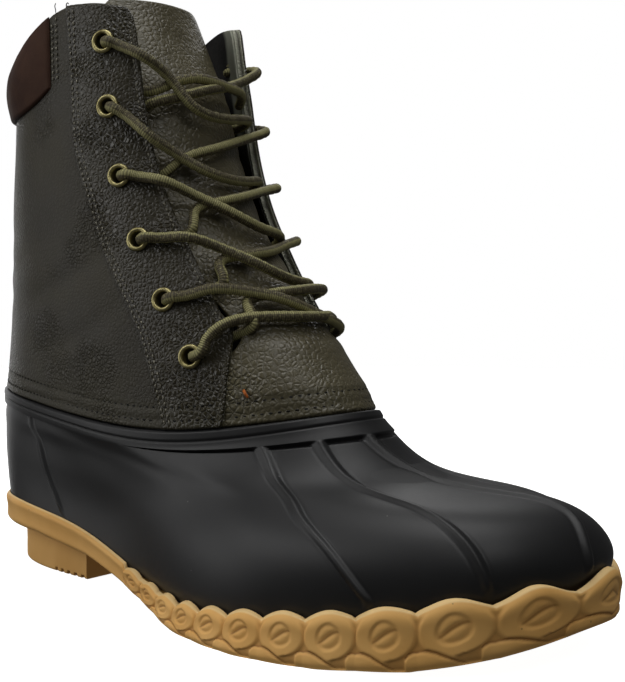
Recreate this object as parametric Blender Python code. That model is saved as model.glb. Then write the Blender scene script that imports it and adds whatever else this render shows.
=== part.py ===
# Duck boot for the right foot: a moulded rubber bottom, laced leather quarters and a gum sole.
# Frame: +X to the toe, +Y to the inner side of the foot, +Z up, floor at z = 0.
# Sizes and tables are in millimetres; the meshes are written in metres.
import math
from collections import namedtuple

import bmesh
import bpy
import numpy as np
from mathutils import Vector

MM = 0.001

# Driving sizes of the sole
LENGTH = 300.0
MIDDLE = 3.375              # y of the line the tables are measured from, so that the box is centred
HEEL_BREAST = -70.0         # x of the front face of the heel block
HEEL_INSET = 9.0            # heel block inside the sole's outline
HEEL_SEAT = 1.2             # the heel block is fused this far into the sole
NOTCHES = 5                 # small notches along the bottom edge of each side of the heel block
NOTCH_PITCH = 0.040         # as an angle round the foot
NOTCH_WIDTH = 0.013
NOTCH_RISE = 1.6
NOTCH_DEPTH = 1.6
HEEL_STEP = 0.12            # columns round the back of the heel block start after this angle
LOBES = 12                  # scallops of the rand on each side, the first one centred on the toe tip
LOBE_WIDTHS = {0: 36.0, 3: 19.0, 5: 16.5, 11: 14.5}     # width of a lobe by its number from the toe
SCALLOP = 3.2               # depth of the notch between two lobes
SCALLOP_LEVEL = 0.95        # share of that depth at the level of the rand
LOBE_BULGE = 0.8
BAR_GROOVE = 2.4            # depth of the grooves between the bars of the forefoot
BOTTOM_INSET = 1.2
RIM_INSET = 0.9
RIM_DROP = 0.4              # the rim slopes outwards
RIM_LEAST = 0.9             # lowest rim above the bed
WALL_RING = 0.85            # ring inside the sole, as a share of the way up to the rim
WALL_ROW = 1.0              # but no higher than this row of the last table
WALL_DROP = 0.5             # and this far under the rubber
SIDE_STEPS = ((0.30, 0.0), (0.75, 0.2))     # share of the way down the side of the sole, inset there

# Driving sizes of the upper
GAP = 0.3                   # clearance between pieces that touch
SOLE_GAP = 0.4              # the same where the sole holds the rubber
BED_DROP = 0.5              # and under the rubber's lower edge
SHELL_WALL = 3.0
FLANGE_WALL = 1.5           # rubber under the sewn edge of the leather
FLANGE_RISE = 0.45          # height of that flange, in rows of the last table
BAND_STEP = 0.9             # raised band at the top of the shell
RIB_HEIGHT = 1.5
HEEL_SIDE = 1.5             # angle that ends the heel part of the shell
RIB_FOOT = (1.6, 1.1)       # row where the ribs start, at the heel and in front of it
RIB_HALF = 0.055            # half width of a rib, as an angle round the foot at the band
LEATHER = 2.2
STAY_STEP = 1.2             # the eyestay stands this much above the quarter
TONGUE_WALL = 3.0
PAD_SWELL = 5.0
PAD_EDGE = 1.6
INSOLE = 4.0

# Driving sizes of the lacing
EYELET_FLANGE = 4.9
EYELET_BARREL = 3.4
EYELET_BORE = 2.8
EYELET_SEAT = 0.5           # underside of the flange above the middle of the curved eyestay
LACE = 4.4                  # diameter
LACE_SIDES = 6
LACE_SEAT = 0.4             # between the lace and the eyestay
LACE_CLEAR = 1.0            # between the lace and the tongue
BESIDE_EYELET = 0.045       # start of a strand next to its eyelet, as a share of the depth
INSIDE_EDGE = 0.042         # end of a strand beside the edge that it goes under
LACE_DIP = 6.5              # furthest back that the lace follows the tongue

# Outline of the gum sole, heel to toe: share of the length, outer edge y, inner edge y, height of the
# underside, height of the rim and how far the outer side spreads at its foot
Section = namedtuple("Section", "share lateral medial under rim flare")
SOLE = [
    Section(0.000, 0.0, 0.0, 19.0, 31.5, 0.0),
    Section(0.020, -15.4, 15.4, 19.0, 31.4, 0.0),
    Section(0.080, -29.6, 29.6, 19.0, 31.5, 0.0),
    Section(0.180, -37.2, 35.7, 18.6, 29.8, 0.0),
    Section(0.300, -38.8, 34.9, 14.0, 24.0, 0.0),
    Section(0.420, -43.2, 35.2, 4.6, 13.6, 0.5),
    Section(0.540, -54.2, 41.0, 0.0, 10.9, 3.6),
    Section(0.660, -59.4, 50.7, 0.0, 14.6, 4.2),
    Section(0.760, -54.2, 55.5, 0.0, 18.4, 2.4),
    Section(0.860, -43.2, 53.0, 2.3, 23.8, 0.4),
    Section(0.940, -27.2, 43.0, 8.2, 29.2, 0.0),
    Section(0.985, -6.5, 29.0, 13.4, 32.0, 0.0),
    Section(1.000, 13.0, 13.0, 15.4, 33.0, 0.0),
]

# Rows of the last, sole to collar. Each row is a ring round the foot: x at the back and front, share of
# the sole's outline in its width, share of an oval, half width of that oval, and its height at four shares
# of its length.
Row = namedtuple("Row", "name back front outline oval half heel waist ball toe")
LAST = [
    Row("feather", -144.0, 143.0, 0.890, 0.00, 45.0, 27.5, 12.5, 5.0, 21.0),
    Row("rand", -147.5, 147.0, 0.945, 0.00, 45.0, 30.8, 15.6, 14.5, 32.0),
    Row("side", -150.2, 146.5, 0.950, 0.00, 45.0, 45.0, 32.0, 30.0, 39.5),
    Row("shoulder", -151.0, 140.0, 0.880, 0.12, 47.0, 57.0, 46.0, 42.5, 47.8),
    Row("toe_top", -151.0, 122.0, 0.780, 0.30, 47.0, 65.0, 56.0, 50.5, 53.2),
    Row("vamp", -150.6, 87.0, 0.780, 0.58, 46.0, 71.0, 62.5, 57.5, 57.0),
    Row("band", -150.0, 65.0, 0.820, 0.80, 45.5, 76.0, 67.5, 64.0, 71.5),
    Row("edge", -149.0, 57.5, 0.840, 0.90, 46.0, 82.0, 75.0, 71.5, 80.0),
    Row("instep", -142.0, 39.0, 0.840, 1.00, 46.5, 107.0, 105.0, 105.0, 106.0),
    Row("ankle", -137.5, 13.0, 1.000, 1.00, 46.5, 142.0, 141.0, 141.0, 142.0),
    Row("shaft", -134.3, -4.0, 1.000, 1.00, 46.0, 175.0, 174.0, 174.0, 175.0),
    Row("upper", -131.0, -11.0, 1.000, 1.00, 45.0, 207.0, 205.0, 205.0, 205.0),
    Row("collar", -129.0, -18.0, 1.000, 1.00, 43.5, 221.0, 233.0, 239.5, 230.0),
]
ROW = {row.name: index for index, row in enumerate(LAST)}
HEIGHT_SHARES = (0.0, 0.4, 0.7, 1.0)
# Extra half width behind the arch, whole up to one x and gone at another, so the heel's sides stand straight
Fill = namedtuple("Fill", "width whole gone")
NO_FILL = Fill(0.0, -80.0, -18.0)
HEEL_FILL = {
    "shoulder": Fill(4.0, -55.0, 15.0),
    "toe_top": Fill(6.6, -70.0, 30.0),
    "vamp": Fill(3.8, -80.0, -18.0),
    "band": Fill(0.6, -80.0, -18.0),
}

# Edge of the throat and seam behind the eyestay: row of the last, share of the depth
Line = namedtuple("Line", "row share")
THROAT = [
    Line(7.0, 0.813), Line(7.6, 0.850), Line(8.15, 0.900), Line(8.3, 0.888), Line(9.0, 0.886),
    Line(10.0, 0.871), Line(10.9, 0.857), Line(11.75, 0.854), Line(12.0, 0.832),
]
SEAM = [
    Line(7.0, 0.697), Line(8.1, 0.688), Line(9.0, 0.659), Line(9.7, 0.640), Line(10.4, 0.612),
    Line(12.0, 0.600),
]

# Eyelets of each side, lowest first
EYELETS = [
    Line(7.854, 0.795), Line(8.433, 0.780), Line(9.109, 0.773), Line(9.888, 0.764), Line(10.796, 0.750),
    Line(11.588, 0.748),
]

# Ribs of the shell: angle round the foot at these rows, band to sole, outer side negative
RIB_ROWS = (6.4, 5.5, 4.6, 3.6, 2.6, 1.3)
RIBS = np.array([
    (-3.005, -3.025, -3.190, -3.170, -3.050, -3.015),
    (-2.688, -2.638, -2.580, -2.543, -2.576, -2.612),
    (-2.390, -2.345, -2.210, -2.105, -2.155, -2.262),
    (-1.065, -1.030, -0.990, -0.968, -0.975, -1.060),
    (1.065, 1.030, 0.990, 0.968, 0.975, 1.060),
    (2.390, 2.345, 2.210, 2.105, 2.155, 2.262),
    (2.700, 2.652, 2.600, 2.575, 2.610, 2.640),
])

# Tongue, base to top: share of the depth at its side edges, depth below the surface of the quarters, how
# far it leans back from there and how much its middle rises above its edges
TongueRow = namedtuple("TongueRow", "row share drop lean rise")
TONGUE = [
    TongueRow(7.02, 0.823, 0.0, 0.0, 0.0),
    TongueRow(7.45, 0.856, 0.0, -1.2, 0.0),
    TongueRow(7.95, 0.897, 1.2, -1.0, 0.0),
    TongueRow(8.15, 0.909, 2.2, 0.2, 0.0),
    TongueRow(8.40, 0.896, 2.9, 1.6, 0.0),
    TongueRow(9.00, 0.860, 2.9, 5.0, 0.0),
    TongueRow(10.0, 0.845, 2.9, 7.0, 0.0),
    TongueRow(11.0, 0.845, 2.9, 10.0, 0.0),
    TongueRow(11.6, 0.845, 2.9, 13.8, 0.6),
    TongueRow(12.0, 0.845, 2.9, 17.0, 2.6),
    TongueRow(12.30, 0.850, 2.9, 19.0, 5.4),
    TongueRow(12.52, 0.885, 2.9, 20.0, 7.6),
]

# Strands of the lace, top first. Each leaves its eyelet, crosses its own edge of the throat at a share of
# the drop to the next eyelet, lies over the tongue at three places and goes under the other edge. A place
# is its share of the depth, outer side negative, its share of the drop and its lift off the tongue.
Strand = namedtuple("Strand", "edge places under")
OUTER_STRANDS = [
    Strand(0.22, ((-0.938, 0.50, 3.6), (-0.974, 1.00, 2.6), (0.994, 1.12, 0.8)), 1.03),
    Strand(0.46, ((-0.935, 0.73, 3.6), (-0.972, 0.94, 2.6), (0.990, 1.03, 0.5)), 1.00),
    Strand(0.16, ((-0.948, 0.39, 3.6), (-0.980, 0.58, 2.8), (0.998, 0.84, 0.8)), 0.97),
    Strand(0.06, ((-0.949, 0.23, 3.6), (-0.983, 0.46, 2.8), (0.998, 0.69, 0.5)), 0.80),
    Strand(-0.11, ((-0.943, -0.09, 3.6), (-0.985, 0.03, 2.8), (0.998, 0.30, 0.8)), 0.62),
]
INNER_STRANDS = [
    Strand(0.06, ((0.945, 0.30, 2.2), (-0.992, 0.68, 0.6), (-0.945, 0.86, 0.4)), 0.96),
    Strand(0.12, ((0.945, 0.30, 2.2), (-0.988, 0.64, 0.6), (-0.940, 0.82, 0.4)), 0.95),
    Strand(0.06, ((0.945, 0.17, 3.6), (-0.984, 0.45, 1.2), (-0.940, 0.63, 0.4)), 0.86),
    Strand(0.00, ((0.945, 0.08, 2.2), (-0.982, 0.30, 0.6), (-0.940, 0.44, 0.4)), 0.72),
    Strand(-0.10, ((0.950, -0.12, 4.6), (-0.985, -0.08, 1.2), (-0.945, 0.08, 0.4)), 0.42),
]
TAIL = Strand(None, ((-0.945, 0.60, 0.0), (-0.985, 0.44, 0.0), (0.996, 0.48, 0.0)), 0.60)
TAIL_START = 0.74           # share of the drop where the tail comes from under the outer edge
BAR_RISE = ((0.045, 0.12), (0.083, 0.27))   # shares in front of the lowest eyelets and rows above them
BAR_MIDDLE = 0.38           # rows that the bar lies above the lowest eyelets at the tongue

# Padded cuff: share of the collar's depth where its ends are, and rows of its lower edge, end and back
PAD_END_SHARE = 0.52
PAD_LOW_END = 11.30
PAD_LOW_BACK = 10.83


def cubic_pieces(knots, values):
    """Natural cubic spline through a table: value, slope, bend and cube of each piece."""
    values = np.asarray(values, float)
    steps = np.diff(np.asarray(knots, float))
    wide = steps.reshape((-1,) + (1,) * (values.ndim - 1))
    slopes = np.diff(values, axis=0) / wide
    system = np.eye(len(values))
    right = np.zeros_like(values)
    for i in range(1, len(values) - 1):
        system[i, i - 1:i + 2] = steps[i - 1], 2.0 * (steps[i - 1] + steps[i]), steps[i]
        right[i] = 3.0 * (slopes[i] - slopes[i - 1])
    bend = np.linalg.solve(system, right.reshape(len(values), -1)).reshape(values.shape)
    slope = slopes - wide * (2.0 * bend[:-1] + bend[1:]) / 3.0
    cube = np.diff(bend, axis=0) / (3.0 * wide)
    return np.stack([values[:-1], slope, bend[:-1], cube])


def piece_of(knots, places):
    """Piece of the spline that each place is in, and how far along it."""
    knots = np.asarray(knots, float)
    span = np.clip(np.searchsorted(knots, places, side="right") - 1, 0, len(knots) - 2)
    return span, np.asarray(places, float) - knots[span]


def through(knots, values, places):
    """Value at each place of the spline through a table's column or through points."""
    pieces = cubic_pieces(knots, values)
    span, along = piece_of(knots, places)
    value, slope, bend, cube = pieces[:, span]
    along = along.reshape(along.shape + (1,) * (pieces.ndim - 2))
    return value + along * (slope + along * (bend + along * cube))


def share_of(angle):
    """Share of the depth, heel 0 to front 1, at an angle round the foot."""
    return (1.0 - np.cos(angle)) / 2.0


def angle_of(share):
    return np.arccos(1.0 - 2.0 * np.asarray(share, float))


def column(rows, field):
    return [getattr(row, field) for row in rows]


def sole_y(angle):
    """Outline of the sole: one closed curve, outer side first."""
    angles = angle_of(column(SOLE, "share"))
    knots = np.concatenate([-angles[::-1], angles[1:]])
    edge = np.concatenate([column(SOLE, "lateral")[::-1], column(SOLE, "medial")[1:]])
    return through(knots, edge, (np.asarray(angle, float) + math.pi) % (2.0 * math.pi) - math.pi)


def plan_inset(curve, angle, inset):
    """Points of a closed curve in plan, moved inwards by the inset."""
    step = 0.004
    inner = np.clip(angle, -math.pi + step, math.pi - step)
    tangent = curve(inner + step) - curve(inner - step)
    inward = np.stack([tangent[..., 1], -tangent[..., 0]], axis=-1)
    inward /= np.linalg.norm(inward, axis=-1, keepdims=True)
    at_tip = np.abs(np.abs(angle) - math.pi) < step
    inward[at_tip] = (-1.0, 0.0)
    return curve(angle) + inward * np.reshape(inset, np.shape(inset) + (1,) * (np.ndim(inset) > 0))


def sole_outline(angle, inset):
    """Points of the sole's outline, moved inwards by the inset."""
    def outline(a):
        return np.stack([LENGTH * (share_of(a) - 0.5), MIDDLE + sole_y(a)], axis=-1)

    return plan_inset(outline, angle, inset)


def row_points(row, angle):
    """Ring of one row of the last."""
    share = share_of(angle)
    x = row.back + (row.front - row.back) * share
    y = MIDDLE + sole_y(angle) * row.outline * (1.0 - row.oval) + row.half * np.sin(angle) * row.oval
    fill = HEEL_FILL.get(row.name, NO_FILL)
    ahead = np.clip((x - fill.whole) / (fill.gone - fill.whole), 0.0, 1.0)
    y += fill.width * np.sin(angle) * (1.0 - ahead * ahead * (3.0 - 2.0 * ahead))
    z = through(HEIGHT_SHARES, (row.heel, row.waist, row.ball, row.toe), share)
    return np.stack([x, y, z], axis=-1)


def last_point(angle, height):
    """Point of the last at an angle round the foot and a height in rows."""
    rings = np.stack([row_points(row, angle) for row in LAST])
    rows = np.arange(len(LAST))
    span, along = piece_of(rows, height)
    value, slope, bend, cube = cubic_pieces(rows, rings)[:, span, np.arange(len(span))]
    along = along[:, None]
    return value + along * (slope + along * (bend + along * cube))


def skin(angle, height, out=0.0):
    """Outer surface of the upper, moved out along its normal."""
    angle, height, out = (np.array(a, float) for a in np.broadcast_arrays(angle, height, out))
    shape = angle.shape
    angle, height, out = angle.ravel(), height.ravel(), out.ravel()
    points = last_point(angle, height)
    da, dh = 0.01, 0.02
    round_foot = last_point(angle + da, height) - last_point(angle - da, height)
    upwards = last_point(angle, height + dh) - last_point(angle, height - dh)
    normal = np.cross(upwards, round_foot)
    normal /= np.linalg.norm(normal, axis=-1, keepdims=True)
    return (points + normal * out[:, None]).reshape(shape + (3,))


def skin_normal(angle, height):
    return Vector(skin(angle, height, 1.0) - skin(angle, height, 0.0)).normalized()


def line_angle(line, height):
    """Angle of a line of the throat or seam at a height in rows."""
    return angle_of(np.interp(height, column(line, "row"), column(line, "share")))


def material(name, colour, roughness, metallic=0.0):
    finish = bpy.data.materials.new(name)
    finish.use_nodes = True
    shader = finish.node_tree.nodes["Principled BSDF"]
    shader.inputs["Base Color"].default_value = (*colour, 1.0)
    shader.inputs["Roughness"].default_value = roughness
    shader.inputs["Metallic"].default_value = metallic
    return finish


def add_object(name, mesh, finish):
    thing = bpy.data.objects.new(name, mesh)
    bpy.context.scene.collection.objects.link(thing)
    mesh.materials.append(finish)
    mesh.shade_smooth()
    mesh.set_sharp_from_angle(angle=math.radians(35.0))
    return thing


def mesh_object(name, points, faces, finish):
    """Closed mesh from points in millimetres."""
    mesh = bpy.data.meshes.new(name)
    mesh.from_pydata((np.asarray(points) * MM).tolist(), [], faces)
    work = bmesh.new()
    work.from_mesh(mesh)
    bmesh.ops.recalc_face_normals(work, faces=work.faces)
    work.to_mesh(mesh)
    work.free()
    return add_object(name, mesh, finish)


def band_faces(rings, columns, closed_rings, closed_columns):
    """Quads between neighbouring rings of a grid of points."""
    faces = []
    for r in range(rings if closed_rings else rings - 1):
        here, above = r * columns, (r + 1) % rings * columns
        for c in range(columns if closed_columns else columns - 1):
            beside = (c + 1) % columns
            faces.append((here + c, here + beside, above + beside, above + c))
    return faces


def across_faces(first, columns, tip=1):
    """Quads across a ring that runs down the outer side, round the heel and back.

    The tip is 1 if the two ends of the ring share a point.
    """
    faces = []
    for j in range(columns // 2):
        corners = [j, j + 1, columns - 2 + tip - j, (columns - 1 + tip - j) % columns]
        faces.append(tuple(first + corner for corner in dict.fromkeys(corners)))
    return faces


def sheet_faces(rows, columns):
    """Faces of a closed sheet: an outer grid, then an inner grid, joined round the rim."""
    inner = rows * columns
    faces = band_faces(rows, columns, False, False)
    faces += [tuple(i + inner for i in face) for face in faces]
    rim = [c for c in range(columns)]
    rim += [r * columns + columns - 1 for r in range(1, rows)]
    rim += [(rows - 1) * columns + c for c in range(columns - 2, -1, -1)]
    rim += [r * columns for r in range(rows - 2, 0, -1)]
    for here, after in zip(rim, rim[1:] + rim[:1]):
        faces.append((here, after, after + inner, here + inner))
    return faces


def lobe_edges():
    """Distance from the toe tip along the rand to each notch between two lobes."""
    widths = np.interp(np.arange(LOBES), list(LOBE_WIDTHS), list(LOBE_WIDTHS.values()))
    return np.cumsum(widths) - widths[0] / 2.0


def rand_columns():
    """Angles from toe to heel on the outer side, with the place of each column in its lobe, 1 at a notch."""
    dense = np.linspace(math.pi, 0.0, 1500)
    path = sole_outline(-dense, 0.0)
    run = np.concatenate([[0.0], np.cumsum(np.linalg.norm(np.diff(path, axis=0), axis=1))])
    edges = lobe_edges()
    places, phases = [0.0, edges[0] * 0.55], [0.0, 0.55]
    for left, right in zip(edges[:-1], edges[1:]):
        for phase in (-1.0, -0.8, -0.35, 0.35, 0.8):
            places.append(left + (right - left) * (phase + 1.0) / 2.0)
            phases.append(phase)
    lobed = np.interp(places + [edges[-1]], run, dense)
    plain = np.linspace(lobed[-1], 0.0, 14)[1:]
    return np.concatenate([lobed, plain]), phases + [1.0] + [None] * len(plain)


def rim_row(angle):
    """Row of the last at the rim of the sole, at each angle."""
    height = through(column(SOLE, "share"), column(SOLE, "rim"), share_of(angle))
    rows = np.linspace(0.0, 2.0, 41)
    levels = np.stack([last_point(angle, np.full(len(angle), row))[:, 2] for row in rows], axis=-1)
    return np.array([np.interp(z, level, rows) for z, level in zip(height, levels)])


def make_outsole(finish):
    lateral, phases = rand_columns()
    angle = np.concatenate([-lateral, lateral[-2:0:-1]])
    phases = phases + phases[-2:0:-1]
    share = share_of(angle)
    lobed = np.array([phase is not None for phase in phases])
    place = np.array([1.0 if phase is None else abs(phase) for phase in phases])
    arch = np.where(lobed, np.sqrt(np.maximum(1.0 - (0.95 * place) ** 2, 0.0)), 0.0)
    dip = np.where(lobed, SCALLOP * (arch - SCALLOP_LEVEL), 0.0)
    bulge = np.where(lobed, LOBE_BULGE * arch, 0.0)
    under = np.interp(share, column(SOLE, "share"), column(SOLE, "under"))
    groove = np.where(lobed & (place > 0.9) & (share > 0.5), BAR_GROOVE, 0.0)
    flare = np.where(angle < 0.0, np.interp(share, column(SOLE, "share"), column(SOLE, "flare")), 0.0)
    bed = skin(angle, 0.0, 0.0)
    bed[:, :2] = plan_inset(lambda a: row_points(LAST[0], a)[..., :2], angle, -SOLE_GAP)
    bed[:, 2] -= BED_DROP
    rim = rim_row(angle)
    rim_in = skin(angle, rim, SOLE_GAP)
    rim_in[:, 2] = np.maximum(rim_in[:, 2] + dip, bed[:, 2] + RIM_LEAST)
    rim_out = np.column_stack([sole_outline(angle, RIM_INSET - bulge), rim_in[:, 2] - RIM_DROP])
    wall = skin(angle, np.minimum(WALL_RING * rim, WALL_ROW), SOLE_GAP)
    wall[:, 2] = np.minimum(wall[:, 2], rim_in[:, 2]) - WALL_DROP
    rings = [bed, wall, rim_in, rim_out]
    for down, inset in SIDE_STEPS:
        level = rim_out[:, 2] + (under - rim_out[:, 2]) * down
        rings.append(np.column_stack([sole_outline(angle, inset - bulge - flare * down), level]))
    foot = sole_outline(angle, BOTTOM_INSET + groove - bulge - flare)
    rings.append(np.column_stack([foot, under + groove]))
    points = np.concatenate(rings)
    columns = len(angle)
    faces = band_faces(len(rings), columns, False, True)
    faces += across_faces(0, columns)
    faces += across_faces((len(rings) - 1) * columns, columns)
    sole = mesh_object("outsole", points, faces, finish)
    heel = make_heel(finish)
    fuse = sole.modifiers.new("fuse heel", "BOOLEAN")
    fuse.operation = "UNION"
    fuse.solver = "EXACT"
    fuse.object = heel
    return sole


def make_heel(finish):
    """Heel block with a notched lower edge; fused into the sole."""
    breast = float(angle_of(HEEL_BREAST / LENGTH + 0.5))
    side, cut = [breast], [False]
    for i in range(NOTCHES):
        start = breast - (i + 0.35) * NOTCH_PITCH
        end = start - NOTCH_WIDTH
        side += [start, start - 0.001, end, end - 0.001]
        cut += [False, True, True, False]
    plain_back = np.linspace(side[-1] - HEEL_STEP, 0.0, 6).tolist()
    side += plain_back
    cut += [False] * len(plain_back)
    angle = np.array([-a for a in side] + side[-2::-1])
    cut = np.array(cut + cut[-2::-1])
    plain = sole_outline(angle, HEEL_INSET)
    notched = sole_outline(angle, np.where(cut, HEEL_INSET + NOTCH_DEPTH, HEEL_INSET))
    seat = np.interp(share_of(angle), column(SOLE, "share"), column(SOLE, "under")) + HEEL_SEAT
    columns = len(angle)
    rise, floor = np.full(columns, NOTCH_RISE), np.zeros(columns)
    levels = [(plain, seat), (plain, rise), (notched, rise), (notched, floor)]
    points = np.concatenate([np.column_stack(level) for level in levels])
    faces = band_faces(len(levels), columns, False, True) + across_faces(0, columns, 0)
    faces.append(tuple(3 * columns + c for c in range(columns)))
    heel = mesh_object("heel block form", points, faces, finish)
    heel.hide_render = True
    heel.display_type = "WIRE"
    return heel


def shell_columns():
    """Angles round the shell at the band, with three columns at each rib, and the height of the rib there."""
    even = np.linspace(-math.pi, math.pi, 49)[:-1]
    ribs = RIBS[:, 0]
    clear = [a for a in even if np.min(np.abs(ribs - a)) > 1.5 * RIB_HALF]
    lines = [rib + k * RIB_HALF for rib in ribs for k in (-1.0, 0.0, 1.0)]
    angle = np.sort(np.array(clear + lines))
    nearest = np.min(np.abs(np.subtract.outer(angle, ribs)), axis=-1)
    return angle, RIB_HEIGHT * np.clip(1.0 - nearest / RIB_HALF, 0.0, 1.0)


def along_ribs(angle, height):
    """Angle at a row of the columns that start at the band and run beside the ribs."""
    turns = np.array([-2.0 * math.pi, 0.0, 2.0 * math.pi])[:, None]
    row = np.clip(height, RIB_ROWS[-1], RIB_ROWS[0])
    at_row = through(RIB_ROWS[::-1], RIBS.T[::-1], np.array([row]))[0]
    return np.interp(angle, (RIBS[:, 0] + turns).ravel(), (at_row + turns).ravel())


def make_shell(finish):
    angle, crest = shell_columns()
    foot = np.where(np.abs(angle) < HEEL_SIDE, *RIB_FOOT)
    band, edge = float(ROW["band"]), float(ROW["edge"])
    top = edge + FLANGE_RISE
    under = -(LEATHER + 2.0 * GAP)
    outer = [(v, None) for v in (0.012, 1.0, 1.5, 2.0, 2.6, 3.3, 4.0, 4.7, 5.4, band - 0.08)]
    outer += [(band, BAND_STEP), (edge - 0.012, BAND_STEP), (edge - 0.010, under), (top, under)]
    inner = [(top, under - FLANGE_WALL), (edge - 0.3, under - FLANGE_WALL), (band - 0.3, -SHELL_WALL)]
    inner += [(v, -SHELL_WALL) for v in (4.6, 3.4, 2.2, 1.0, 0.012)]
    rings = []
    for height, out in outer + inner:
        lift = crest * np.clip((height - foot) / 0.6, 0.0, 1.0) if out is None else out
        rings.append(skin(along_ribs(angle, height), height, lift))
    foot_edge = plan_inset(lambda a: row_points(LAST[0], a)[..., :2], along_ribs(angle, 0.0), SHELL_WALL)
    rings[-1] = np.column_stack([foot_edge, rings[0][:, 2]])
    points = np.concatenate(rings)
    return mesh_object("rubber_shell", points, band_faces(len(rings), len(angle), True, True), finish)


def make_shaft(finish):
    rows = np.array([7.012, 7.3, 7.6, 7.9, 8.15, 8.3, 8.7, 9.2, 9.8, 10.4, 11.0, 11.75, 12.0])
    edge = line_angle(THROAT, rows)
    seam = line_angle(SEAM, rows)
    back = np.linspace(0.0, 1.0, 11)[:-1]
    stay = np.linspace(0.0, 1.0, 5)
    quarter = seam[:, None] * back[None, :]
    step_foot = (seam - 0.012)[:, None]
    raised = seam[:, None] + (edge - seam)[:, None] * stay[None, :]
    half = np.concatenate([quarter, step_foot, raised], axis=1)
    lift = np.concatenate([np.zeros(len(back) + 1), np.full(len(stay), STAY_STEP)])
    angle = np.concatenate([-half[:, :0:-1], half], axis=1)
    lift = np.concatenate([lift[:0:-1], lift])
    height = np.broadcast_to(rows[:, None], angle.shape)
    outer = skin(angle, height, lift[None, :])
    inner = skin(angle, height, -LEATHER)
    points = np.concatenate([outer.reshape(-1, 3), inner.reshape(-1, 3)])
    shaft = mesh_object("shaft", points, sheet_faces(*angle.shape), finish)
    holes = make_hole_cutter(finish)
    cut = shaft.modifiers.new("eyelet holes", "BOOLEAN")
    cut.operation = "DIFFERENCE"
    cut.solver = "EXACT"
    cut.object = holes
    return shaft


def eyelet_places():
    """Name, centre and outward axis of each eyelet, top first."""
    for side, sign in (("lateral", -1.0), ("medial", 1.0)):
        for number, place in enumerate(EYELETS[::-1], start=1):
            angle = sign * float(angle_of(place.share))
            centre = skin(angle, place.row, STAY_STEP)
            yield f"eyelet_{side}_{number}", Vector(centre), skin_normal(angle, place.row)


def turned(profile, segments):
    """Ring of points turned about the z axis from (radius, height) pairs; the profile is closed."""
    turns = np.linspace(0.0, 2.0 * math.pi, segments, endpoint=False)
    points = [(r * math.cos(a), r * math.sin(a), h) for r, h in profile for a in turns]
    return np.array(points), band_faces(len(profile), segments, True, True)


def placed(points, centre, axis):
    turn = axis.to_track_quat("Z", "Y").to_matrix()
    return np.array([turn @ Vector(p) + centre for p in points])


def make_hole_cutter(finish):
    """One cutter with a short round bar at each eyelet."""
    segments = 12
    turns = np.linspace(0.0, 2.0 * math.pi, segments, endpoint=False)
    radius, reach = EYELET_BARREL + GAP + 0.1, 6.0
    bar = np.array([(radius * math.cos(a), radius * math.sin(a), h) for h in (-reach, reach) for a in turns])
    points, faces = [], []
    for _, centre, axis in eyelet_places():
        first = len(points)
        points.extend(placed(bar, centre, axis))
        loop = [first + i for i in range(segments)]
        faces += [tuple(i + first for i in face) for face in band_faces(2, segments, False, True)]
        faces += [tuple(loop[::-1]), tuple(i + segments for i in loop)]
    cutter = mesh_object("eyelet hole form", points, faces, finish)
    cutter.hide_render = True
    cutter.display_type = "WIRE"
    return cutter


def make_eyelets(finish):
    lip = EYELET_SEAT + 1.1
    inside = -(STAY_STEP + LEATHER + 0.5)
    profile = [
        (EYELET_BORE, inside), (EYELET_BORE, lip - 0.5), (EYELET_BORE + 0.6, lip),
        (EYELET_FLANGE - 0.5, lip - 0.2), (EYELET_FLANGE, EYELET_SEAT), (EYELET_BARREL, EYELET_SEAT),
        (EYELET_BARREL, inside),
    ]
    for name, centre, axis in eyelet_places():
        points, faces = turned(profile, 9)
        mesh_object(name, placed(points, centre, axis), faces, finish)


def tongue_column(row, field):
    return np.interp(row, column(TONGUE, "row"), column(TONGUE, field))


def make_tongue(finish):
    rows = np.sort(np.concatenate([column(TONGUE, "row"), [7.7, 8.7, 9.5, 10.5]]))
    reach = math.pi - angle_of(tongue_column(rows, "share"))
    places = np.linspace(-1.0, 1.0, 13)
    away = reach[:, None] * places[None, :]
    angle = np.where(places < 0.0, -math.pi - away, math.pi - away)
    height = np.broadcast_to(rows[:, None], angle.shape)
    drop = tongue_column(rows, "drop")[:, None]
    wall = np.interp(rows, (7.5, 8.3), (LEATHER, TONGUE_WALL))[:, None]
    sheets = [skin(angle, height, -drop), skin(angle, height, -(drop + wall))]
    for sheet in sheets:
        sheet[..., 0] -= tongue_column(height, "lean")
        sheet[..., 2] += tongue_column(height, "rise") * (1.0 - 1.5 * places ** 2)
    points = np.concatenate([sheet.reshape(-1, 3) for sheet in sheets])
    return mesh_object("tongue", points, sheet_faces(*angle.shape), finish)


def make_pad(finish):
    """Padded cuff: a lens on the back of the shaft, thickest in its middle."""
    reach = float(angle_of(PAD_END_SHARE))
    around = np.linspace(-1.0, 1.0, 17)
    upward = np.linspace(0.0, 1.0, 7)
    low = PAD_LOW_BACK + (PAD_LOW_END - PAD_LOW_BACK) * np.abs(around) ** 6
    height = low[None, :] + (float(ROW["collar"]) - low)[None, :] * upward[:, None]
    angle = np.broadcast_to(reach * around[None, :], height.shape)
    swell = np.sin(math.pi * (0.08 + 0.90 * upward))[:, None] ** 0.7 * (1.0 - np.abs(around) ** 6)[None, :]
    outer = skin(angle, height, GAP + PAD_EDGE + (PAD_SWELL - PAD_EDGE) * swell)
    inner = skin(angle, height, GAP)
    points = np.concatenate([outer.reshape(-1, 3), inner.reshape(-1, 3)])
    return mesh_object("collar_pad", points, sheet_faces(*height.shape), finish)


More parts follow.
